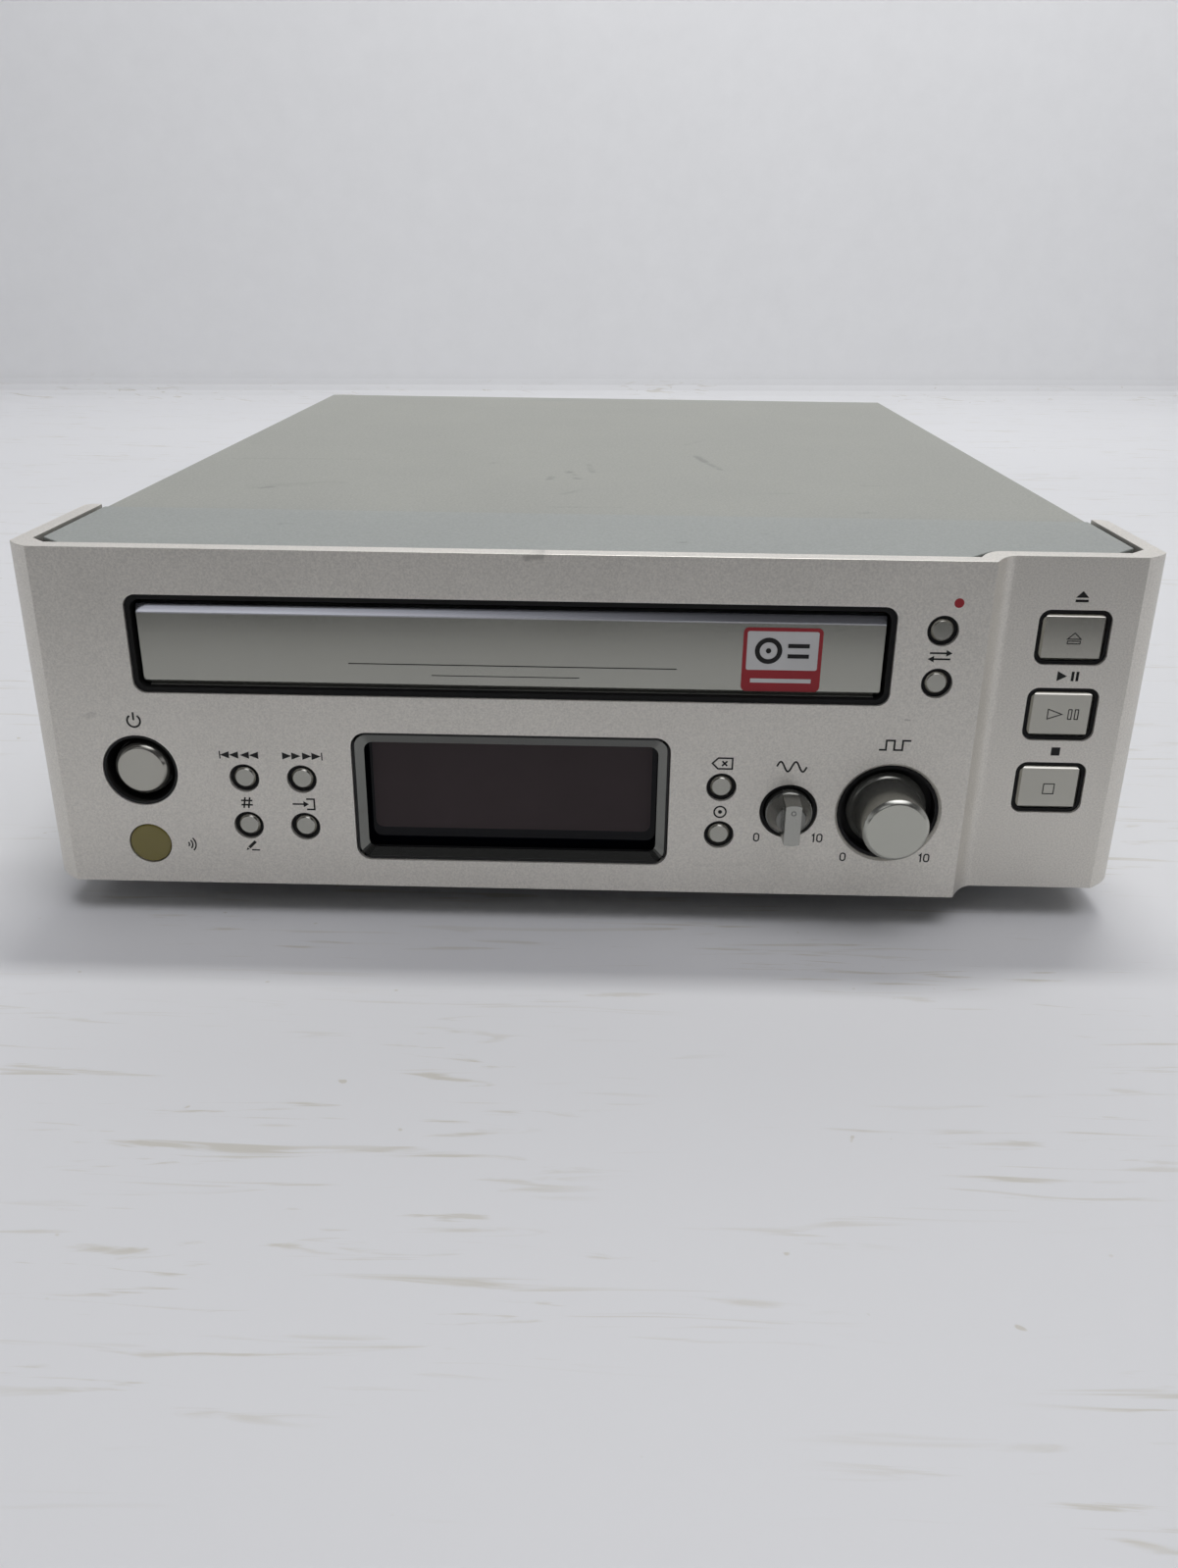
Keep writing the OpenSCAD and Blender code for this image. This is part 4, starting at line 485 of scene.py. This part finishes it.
class Drawing:
    """Flat marks on one face. `at` picks a place in millimetres; shapes are drawn about it."""

    def __init__(self, face, lift=0.0, across=(1, 0, 0)):
        self.across = Vector(across)
        self.up = Vector((0, 0, 1))
        self.out = self.across.cross(self.up)
        self.face = Vector((0, face, 0)) + self.out * lift
        self.mesh = bmesh.new()
        self.at(0, 0)

    def at(self, x, y, size=1.0):
        self.spot = Vector((x, y))
        self.size = size
        return self

    def corner(self, point, out):
        x, y = self.spot + Vector(point) * self.size
        place = (self.across * x + self.up * y) * MM
        return self.mesh.verts.new(self.face + place + self.out * out)

    def patch(self, points):
        """A filled outline."""
        top = [self.corner(p, INK_OUT) for p in points]
        low = [self.corner(p, -INK_IN) for p in points]
        self.mesh.faces.new(top)
        self.mesh.faces.new(low[::-1])
        for i in range(len(points)):
            j = (i + 1) % len(points)
            self.mesh.faces.new((top[j], top[i], low[i], low[j]))

    def strip(self, left, right, closed):
        """A ribbon between two rows of points."""
        a, b, c, d = ([self.corner(p, out) for p in side]
                      for side in (left, right) for out in (INK_OUT, -INK_IN))
        count = len(left)
        for i in range(count if closed else count - 1):
            j = (i + 1) % count
            for one, two in ((a, c), (c, d), (d, b), (b, a)):
                self.mesh.faces.new((one[i], two[i], two[j], one[j]))
        if not closed:
            for i in (0, count - 1):
                self.mesh.faces.new((a[i], b[i], d[i], c[i]))

    def stroke(self, points, width, closed=False):
        """A line of even width with mitred corners."""
        points = [Vector(p) for p in points]
        count = len(points)
        left, right = [], []
        for i, point in enumerate(points):
            ways = []
            if closed or i > 0:
                ways.append((point - points[i - 1]).normalized())
            if closed or i < count - 1:
                ways.append((points[(i + 1) % count] - point).normalized())
            along = sum(ways, Vector((0, 0))).normalized()
            side = Vector((-along.y, along.x))
            reach = width / 2 / max(0.35, side.dot(Vector((-ways[0].y, ways[0].x))))
            left.append(point + side * reach)
            right.append(point - side * reach)
        self.strip(left, right, closed)

    def arc(self, x, y, radius, start=0, end=360, steps=28):
        angles = [math.radians(start + (end - start) * i / steps) for i in range(steps + 1)]
        return [(x + radius * math.cos(a), y + radius * math.sin(a)) for a in angles]

    def disc(self, x, y, radius):
        self.patch(self.arc(x, y, radius)[:-1])

    def ring(self, x, y, radius, width):
        self.stroke(self.arc(x, y, radius)[:-1], width, True)

    def round_box(self, x, y, w, h, r):
        points = []
        for sx, sy, start in ((1, 1, 0), (-1, 1, 90), (-1, -1, 180), (1, -1, 270)):
            points += self.arc(x + sx * (w / 2 - r), y + sy * (h / 2 - r), r, start, start + 90, 6)
        return points

    def bar(self, x, y, w, h):
        ways = ((-1, -1), (1, -1), (1, 1), (-1, 1))
        self.patch([(x + sx * w / 2, y + sy * h / 2) for sx, sy in ways])

    def arrow(self, x, y, w, h, way=1):
        """A filled triangle pointing right, or left when way is -1."""
        back, tip = x - way * w / 2, x + way * w / 2
        self.patch([(back, y - h / 2), (tip, y), (back, y + h / 2)])

    def done(self, name, body, finish):
        bmesh.ops.recalc_face_normals(self.mesh, faces=self.mesh.faces)
        mesh = bpy.data.meshes.new(name)
        self.mesh.to_mesh(mesh)
        self.mesh.free()
        mesh.materials.append(finish.material)
        made = bpy.data.objects.new(name, mesh)
        bpy.context.scene.collection.objects.link(made)
        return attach(made, body)


# %% [markdown]
# ## What each control does
# The marks are plain signs, one for each control, set above it: power, skip, number, input, clear,
# close the disc, two kinds of signal, sync and the transport signs. Each takes its place from the
# key or knob it belongs to, so it stays put if a control moves.

# %% Signs
LINE = 0.30


def power_sign(draw):
    draw.stroke(draw.arc(0, 0, 1.0, 125, 415), LINE)
    draw.bar(0, 0.75, LINE, 1.3)


def skip_sign(draw, way):
    for place in (-2.95, -1.15, 0.95, 2.75):
        draw.arrow(place + way * 0.1, 0, 1.8, 1.5, way)
    draw.bar(way * 3.95, 0, 0.24, 1.6)


def skip_back_sign(draw):
    skip_sign(draw, -1)


def skip_forward_sign(draw):
    skip_sign(draw, 1)


def number_sign(draw):
    for shift in (-0.42, 0.42):
        draw.stroke([(shift - 0.15, -1.05), (shift + 0.2, 1.05)], LINE)
        draw.stroke([(-1.0, shift), (1.05, shift)], LINE)


def input_sign(draw):
    draw.stroke([(0.5, -1.0), (1.9, -1.0), (1.9, 1.0), (0.5, 1.0)], LINE)
    draw.stroke([(-2.0, 0), (0.1, 0)], LINE)
    draw.arrow(0.45, 0, 1.0, 1.2)


def pen_sign(draw):
    draw.stroke([(-0.4, -0.5), (1.0, 0.9)], 0.6)
    draw.patch([(-1.0, -1.1), (-0.35, -0.85), (-0.75, -0.45)])
    draw.stroke([(0.1, -1.0), (1.7, -1.0)], LINE)


def clear_sign(draw):
    draw.stroke([(-1.8, 0), (-0.8, 1.0), (1.7, 1.0), (1.7, -1.0), (-0.8, -1.0)], LINE, True)
    for way in (-1, 1):
        draw.stroke([(-0.1, -0.45 * way), (0.8, 0.45 * way)], LINE)


def disc_sign(draw):
    draw.ring(0, 0, 1.05, LINE)
    draw.disc(0, 0, 0.36)


def wave_sign(draw):
    turns = [i / 16 - 1 for i in range(33)]
    draw.stroke([(2.4 * t, 0.85 * math.sin(math.tau * t)) for t in turns], LINE)


def pulse_sign(draw):
    draw.stroke([(-2.6, -0.8), (-1.5, -0.8), (-1.5, 0.8), (-0.2, 0.8),
                 (-0.2, -0.8), (1.1, -0.8), (1.1, 0.8), (2.4, 0.8)], LINE)


def sync_sign(draw):
    for way in (-1, 1):
        draw.stroke([(-1.7 * way, 0.5 * way), (1.0 * way, 0.5 * way)], LINE)
        draw.arrow(1.45 * way, 0.5 * way, 1.0, 1.1, way)


def remote_sign(draw):
    for radius in (0.6, 1.25, 1.9):
        draw.stroke(draw.arc(-1.0, 0, radius, -45, 45, 10), LINE)


def zero_sign(draw):
    draw.stroke(draw.round_box(0, 0, 0.95, 1.6, 0.46), 0.28, True)


def ten_sign(draw):
    draw.stroke([(-1.0, 0.45), (-0.62, 0.8), (-0.62, -0.94)], 0.28)
    draw.stroke(draw.round_box(0.5, 0, 0.95, 1.6, 0.46), 0.28, True)


def eject_sign(draw):
    draw.patch([(-1.1, -0.15), (1.1, -0.15), (0, 1.0)])
    draw.bar(0, -0.7, 2.2, 0.45)


def play_sign(draw):
    draw.arrow(-1.15, 0, 1.8, 1.9)
    for shift in (0.75, 1.6):
        draw.bar(shift, 0, 0.5, 1.8)


def stop_sign(draw):
    draw.bar(0, 0, 1.7, 1.7)


def dot_sign(draw):
    draw.disc(0, 0, 0.9)


# %% Signs on the panel
def set_signs(draw, rows):
    """Draws each sign at its control's middle, moved right and up by millimetres."""
    for sign, name, right, up, size in rows:
        at = middle(name) / MM
        sign(draw.at(at.x + right, at.z + up, size))
    return draw


INK = plastic("print_ink", (0.012, 0.012, 0.0115), 0.5, 0.3, 0)
RED = plastic("print_red", (0.27, 0.010, 0.016), 0.4, 0.5, 0)
WHITE = plastic("print_white", (0.50, 0.50, 0.49), 0.45, 0.5, 0)

face_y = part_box("front_panel")[0].y
set_signs(Drawing(face_y), (
    (power_sign, "standby_key", 0, 10.3, 1.25), (remote_sign, "ir_window", 8.2, 0, 1.0),
    (skip_back_sign, "skip_back_key", -0.4, 4.85, 1.0),
    (skip_forward_sign, "skip_forward_key", 0.3, 4.85, 1.0),
    (number_sign, "track_key", 0, 4.9, 1.1), (input_sign, "input_key", 0, 4.8, 1.1),
    (pen_sign, "track_key", 0, -4.4, 1.0), (clear_sign, "erase_key", 0, 5.0, 1.1),
    (disc_sign, "finalize_key", 0, 4.9, 1.1), (wave_sign, "analog_knob", 0, 9.4, 1.2),
    (zero_sign, "analog_knob", -5.9, -5.7, 1.0), (ten_sign, "analog_knob", 6.0, -5.6, 1.0),
    (pulse_sign, "digital_knob", 0, 14.2, 1.2), (zero_sign, "digital_knob", -8.0, -9.6, 1.0),
    (ten_sign, "digital_knob", 8.0, -9.5, 1.0), (sync_sign, "sync_key", 0, 5.3, 1.15),
)).done("panel_signs", "case", INK)
record_dot = set_signs(Drawing(face_y), ((dot_sign, "record_key", 2.3, 5.3, 1.0),))
record_dot.done("record_dot", "case", RED)

STEP_DEPTH = 0.0054
set_signs(Drawing(face_y + STEP_DEPTH), (
    (eject_sign, "open_key", 0.5, 7.9, 1.1), (play_sign, "play_key", 0.3, 7.75, 1.05),
    (stop_sign, "stop_key", 0.2, 7.7, 1.0),
)).done("transport_signs", "case", INK)
print("signs on the panel")

# %% [markdown]
# ## Signs cut into the transport keys
# The three wide keys carry the same signs as fine outlines. They ride on the keys, so they go in
# with them when a key is pressed.

# %% Signs on the keys
FINE = 0.2
key_ink = plastic("key_ink", (0.02, 0.02, 0.019), 0.5, 0.3, 0)


def front_of(name):
    at = middle(name) / MM
    return Drawing(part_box(name)[0].y).at(at.x, at.z)


outline = front_of("open_key")
outline.stroke([(-0.95, -0.3), (1.55, -0.3), (0.3, 0.9)], FINE, True)
outline.stroke(outline.round_box(0.3, -0.95, 2.4, 0.5, 0.02), FINE, True)
outline.done("open_sign", "open_key", key_ink)
outline = front_of("play_key")
outline.stroke([(-2.4, -1.0), (0.3, 0.0), (-2.4, 1.0)], FINE, True)
for place in (1.85, 3.1):
    outline.stroke(outline.round_box(place, 0, 0.62, 1.95, 0.02), FINE, True)
outline.done("play_sign", "play_key", key_ink)
outline = front_of("stop_key")
outline.stroke(outline.round_box(0.1, -0.3, 2.1, 2.1, 0.02), FINE, True)
outline.done("stop_sign", "stop_key", key_ink)
dot = front_of("analog_knob")
dot.ring(0, 2.6, 0.42, 0.16)
dot.done("knob_dot", "analog_knob", plastic("knob_ink", (0.08, 0.08, 0.078), 0.4, 0.5, 0))
print("signs on keys and knob")

# %% [markdown]
# ## Small trims
# Two slim pieces finish the openings: a satin bezel that slopes in towards the display, and the
# door's rolled lower edge, given a darker, duller grey than the door as painted shade on a face
# that looks down. Both could be bent strips, but a skin over a few outlines is simpler: it joins
# each outline to the next, and either runs round to the first or is capped at its ends.

# %% A skin over outlines
def skin(name, outlines, round_again, body, finish):
    shell = bmesh.new()
    rows = [[shell.verts.new(Vector(point) * MM) for point in outline] for outline in outlines]
    for i in range(0 if round_again else 1, len(rows)):
        for j in range(len(rows[i])):
            shell.faces.new((rows[i - 1][j - 1], rows[i - 1][j], rows[i][j], rows[i][j - 1]))
    if not round_again:
        shell.faces.new(rows[0])
        shell.faces.new(rows[-1][::-1])
    bmesh.ops.recalc_face_normals(shell, faces=shell.faces)
    mesh = bpy.data.meshes.new(name)
    shell.to_mesh(mesh)
    shell.free()
    mesh.materials.append(finish.material)
    made = bpy.data.objects.new(name, mesh)
    bpy.context.scene.collection.objects.link(made)
    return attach(made, body)


# %% Bezel and rolled edge
BEZEL_EDGE, BEZEL_IN, BEZEL_DEEP = 0.55, 1.7, 0.8
PANE_LAP = 1.4
rim_low, rim_high = box_mm("display_surround")
pane_low, pane_high = box_mm("display_window")
opening = pane_high - pane_low + Vector((PANE_LAP, 0, PANE_LAP))
opening_at = (pane_low + pane_high) / 2
pen = Drawing(0)


def bezel_outline(inset, depth):
    wide, tall = opening.x - 2 * inset, opening.z - 2 * inset
    points = pen.round_box(opening_at.x, opening_at.z, wide, tall, 2.6 - inset * 0.4)
    return [(x, rim_low.y + depth, z) for x, z in points]


skin("display_bezel", [
    bezel_outline(BEZEL_EDGE, 0.05),
    bezel_outline(BEZEL_EDGE + BEZEL_IN, BEZEL_DEEP),
    bezel_outline(BEZEL_EDGE, BEZEL_DEEP),
], True, "case", aluminium("bezel_aluminium", (0.19, 0.193, 0.18), 0.07, 0.05, 0.9))

LIP = 0.9
LIP_SHORT = 1.2
door_low, door_high = box_mm("tray_door")
lip_outline = ((0, 0.02), (LIP, -LIP), (2 * LIP, -LIP), (2 * LIP, 0.02))
# painted shade: the lip is the door's metal, given a darker, duller grey where it faces down
skin("door_lip", [[(x, door_low.y + y, door_low.z + z) for y, z in lip_outline]
                  for x in (door_low.x + LIP_SHORT, door_high.x - LIP_SHORT)], False, "tray",
     aluminium("lip_shaded_aluminium", (0.20, 0.20, 0.185), 0.5, 0.3, 0.1))
print("bezel in", [round(v, 1) for v in rim_high - rim_low], "mm, lip", LIP, "mm")

# %% [markdown]
# ## The glass
# The window looks like one black pane, but its edge is ground: the middle is a warm, faintly brown
# field and a colder black band runs round it, widest along the lower edge. The field is one more
# thin sliver, laid on the pane.

# %% Field on the glass
FIELD_LEFT, FIELD_RIGHT, FIELD_LOW, FIELD_HIGH = 2.6, 2.6, 4.7, 1.4
field_w = pane_high.x - pane_low.x - FIELD_LEFT - FIELD_RIGHT
field_h = pane_high.z - pane_low.z - FIELD_LOW - FIELD_HIGH
field_x = pane_low.x + FIELD_LEFT + field_w / 2
field_z = pane_low.z + FIELD_LOW + field_h / 2
tinted = Drawing(pane_low.y * MM)
tinted.patch(tinted.round_box(field_x, field_z, field_w, field_h, 1.6))
tinted.done("window_field", "case", plastic("window_tint", (0.041, 0.030, 0.0315), 0.06, 0.17, 0))
print("field", round(field_w, 1), "by", round(field_h, 1), "mm")

# %% [markdown]
# ## The label on the door
# A small glued label: a red ground with a white field, a disc sign in it and a white rule. It is
# built up in three layers, each a little prouder than the last, as print on film is. Two hairlines
# run beside it.

# %% Label and hairlines
door_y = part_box("tray_door")[0].y
LABEL_AT = (36.3, 55.4)
LABEL_W, LABEL_H = 14.8, 12.4
FIELD_UP = 1.75
FILM = 0.03 * MM
ground = Drawing(door_y, 2 * FILM).at(*LABEL_AT)
ground.patch(ground.round_box(0, 0, LABEL_W, LABEL_H, 1.0))
ground.done("label_ground", "tray", RED)
field = Drawing(door_y, 3 * FILM).at(*LABEL_AT)
field.patch(field.round_box(0, FIELD_UP, LABEL_W - 1.5, LABEL_H - 4.9, 0.4))
field.bar(0, -4.1, LABEL_W - 3.4, 0.8)
field.done("label_field", "tray", WHITE)
emblem = Drawing(door_y, 4 * FILM).at(LABEL_AT[0], LABEL_AT[1] + FIELD_UP)
emblem.ring(-2.6, 0, 2.1, 0.9)
emblem.disc(-2.6, 0, 0.5)
for up in (1.0, -1.0):
    emblem.bar(3.0, up, 4.0, 0.8)
emblem.done("label_sign", "tray", INK)
rules = Drawing(door_y)
rules.bar(-14.3, 53.2, 62.0, 0.2)
rules.bar(-15.6, 51.1, 28.0, 0.16)
rules.done("door_rules", "tray", key_ink)
print("label on the door")

# %% [markdown]
# ## Signs on the back
# The back names nothing either: arrows into and out of a bracket tell inputs from outputs, and a
# wave marks the mains. They face the other way, so the drawing runs from right to left.

# %% Rear signs
def output_sign(draw):
    draw.stroke([(-0.5, -1.0), (-1.9, -1.0), (-1.9, 1.0), (-0.5, 1.0)], LINE)
    draw.stroke([(-1.0, 0), (1.1, 0)], LINE)
    draw.arrow(1.5, 0, 1.0, 1.2)


REAR_SIGN = 1.3
REAR_UP = 2.6
back = Drawing(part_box("rear_panel")[1].y, 0.0, (-1, 0, 0))
for name, inset in (("phono_jacks", JACK_IN), ("optical_sockets", 6.0)):
    low, high = box_mm(name)
    input_sign(back.at(-(low.x + inset), high.z + REAR_UP, REAR_SIGN))
    output_sign(back.at(-(high.x - inset), high.z + REAR_UP, REAR_SIGN))
mains = middle("mains_inlet") / MM
wave_sign(back.at(-mains.x, mains.z + 11.0, REAR_SIGN))
back.done("rear_signs", "case", INK)
print("signs on the back")

# %% [markdown]
# ## Floor and wall
# The recorder stands on a white-painted board in front of a white wall. One swept sheet makes both:
# flat, then curved up. The paint is worn along the grain, so long stretched noise lets some wood
# through, and a little fine noise keeps the wall from looking like a screen.

# %% Floor and wall
PAINT, WOOD = (0.905, 0.91, 0.915), (0.50, 0.46, 0.345)
FLOOR_BACK = 0.84
WALL_LEAN = 0.131
WALL_CURVE = 0.02
WALL_TOP = 1.6
FLOOR_HALF = 2.0
sweep = [(-FLOOR_HALF, 0.0, 0.0)]
for step in range(7):
    a = math.radians(step * 15)
    rise = WALL_CURVE * (1 - math.cos(a))
    sweep.append((FLOOR_BACK - WALL_CURVE + WALL_CURVE * math.sin(a), rise, WALL_LEAN))
sweep += [(FLOOR_BACK, WALL_TOP, WALL_LEAN)]
cloth = bpy.data.meshes.new("floor")
spots = [(x, y + lean * x, z) for y, z, lean in sweep for x in (-FLOOR_HALF, FLOOR_HALF)]
quads = [(2 * i, 2 * i + 1, 2 * i + 3, 2 * i + 2) for i in range(len(sweep) - 1)]
cloth.from_pydata(spots, [], quads)
floor = bpy.data.objects.new("floor", cloth)
bpy.context.scene.collection.objects.link(floor)

board = Finish("floor_paint", Roughness=0.6)
wall_share = board.axis("Z").smooth(0.0, 0.03)
long_grain = board.noise(0.0032, 4, 0.55, (0.085, 1, 1), 1.3).smooth(0.575, 0.70)
sparse = board.noise(0.035, 2, 0.5, (0.4, 1, 1)).smooth(0.40, 0.60)
streak = long_grain * sparse * (1 - wall_share)
speck = board.noise(0.004, 1).smooth(0.77, 0.81) * (1 - wall_share)
cloud = board.noise(0.25, 3)
paper = board.noise(0.02, 4, 0.6)
tone = 0.855 + wall_share * 0.13 + (cloud - 0.5) * 0.05 + (paper - 0.5) * wall_share * 0.06
white = board.mix(tone.clamp(), (0, 0, 0), PAINT)
board.set(Base_Color=board.mix((streak * 0.5 + speck * 0.5).clamp(), white, WOOD))
floor.data.materials.append(board.material)
print("floor reaches back to", FLOOR_BACK, "m")

# %% [markdown]
# ## What the metal sees
# Satin metal is shaded by what it mirrors. In front of the recorder the room is dark, so the door
# and keys darken towards their upper edges. A photographer would stand a black card there. This one
# is seen by reflections only, and it starts grey so that the shade comes in softly.

# %% Black card
FLAG_AT, FLAG_HALF, FLAG_TALL, FLAG_LEAN = -0.337, 0.40, 0.07, 0.02
FLAG_GREY, FLAG_BLACK = (0.4, 0.4, 0.4), (0.02, 0.02, 0.02)
card = bpy.data.meshes.new("flag")
corners = [(x * FLAG_HALF, FLAG_AT - z * FLAG_LEAN, z * FLAG_TALL)
           for x, z in ((-1, 0), (1, 0), (1, 1), (-1, 1))]
card.from_pydata(corners, [], [(0, 1, 2, 3)])
flag = bpy.data.objects.new("flag", card)
bpy.context.scene.collection.objects.link(flag)
flag.visible_camera = flag.visible_diffuse = flag.visible_shadow = False
felt = Finish("flag_felt", Roughness=1.0, Specular_IOR_Level=0.0)
felt.set(Base_Color=felt.mix(felt.axis("Z").smooth(-0.006, 0.014), FLAG_GREY, FLAG_BLACK))
card.materials.append(felt.material)
print("card", FLAG_TALL, "m tall at", FLAG_AT)

# %% [markdown]
# ## Light
# A soft lamp high up and a little behind throws the short shadow in front, so the face is lit
# mostly by what the floor sends back. A second lamp washes the wall. The room itself is bright
# overhead and pale at the horizon, with a cool window on the left for the door's top strip.

# %% Light
KEY_AT = Vector((0.12, 0.25, 1.3))
KEY_AIM = 0.135
KEY_POWER = 6.0
WASH_AT = Vector((0.35, 0.20, 0.95))
WASH_POWER = 4.6
WASH_TURN = math.radians(104)
ROOM_LOW, ROOM_BACK, ROOM_FRONT, WINDOW, HORIZON = 0.035, 0.36, 3.5, 0.66, 0.38
ROOM_TINT, WINDOW_TINT = (0.985, 0.985, 1.04), (0.94, 0.95, 1.0)

world = bpy.data.worlds.new("room")
bpy.context.scene.world = world
world.use_nodes = True
room = world.node_tree
heading = Wire(room, room.nodes.new("ShaderNodeTexCoord").outputs["Generated"])
to_side, to_back, to_top = (
    heading.node("ShaderNodeSeparateXYZ", {}, {"Vector": heading}, i) for i in range(3))
high = (to_top + to_side * 0.18).smooth(0.82, 0.98)
to_front = to_back * -1
front = to_front.smooth(-0.3, 0.5)
window = to_front.smooth(0.45, 0.6) * to_top.smooth(0.46, 0.58) * (1 - to_top.smooth(0.72, 0.82))
horizon = 1 - (to_top - to_side * to_side * 0.25).smooth(0.04, 0.28)
window = window * (1 - to_side.smooth(-0.30, 0.10)) * to_side.smooth(-0.72, -0.50)
overhead = high * (front * (ROOM_FRONT - ROOM_BACK) + ROOM_BACK)
level = overhead + window * WINDOW + horizon * HORIZON + ROOM_LOW
tint = heading.node("ShaderNodeMix", {"data_type": "RGBA"},
                    {"Factor": window, 6: ROOM_TINT, 7: WINDOW_TINT}, 2)
backdrop = room.nodes["Background"]
plug(room, backdrop.inputs["Color"], tint)
plug(room, backdrop.inputs["Strength"], level)


def soft_lamp(name, at, turn, wide, tall, power):
    light = bpy.data.lights.new(name, "AREA")
    light.shape = "RECTANGLE"
    light.size, light.size_y = wide, tall
    light.energy = power
    lamp = bpy.data.objects.new(name, light)
    lamp.location = at
    lamp.rotation_euler = (turn, 0, 0)
    bpy.context.scene.collection.objects.link(lamp)


key_turn = math.atan2(KEY_AT.y + KEY_AIM, -KEY_AT.z) + math.pi
soft_lamp("key", KEY_AT, key_turn, 0.5, 0.12, KEY_POWER)
soft_lamp("wash", WASH_AT, WASH_TURN, 1.4, 0.4, WASH_POWER)
bpy.context.scene.view_settings.view_transform = "Standard"
print("light at", [round(v, 2) for v in KEY_AT])
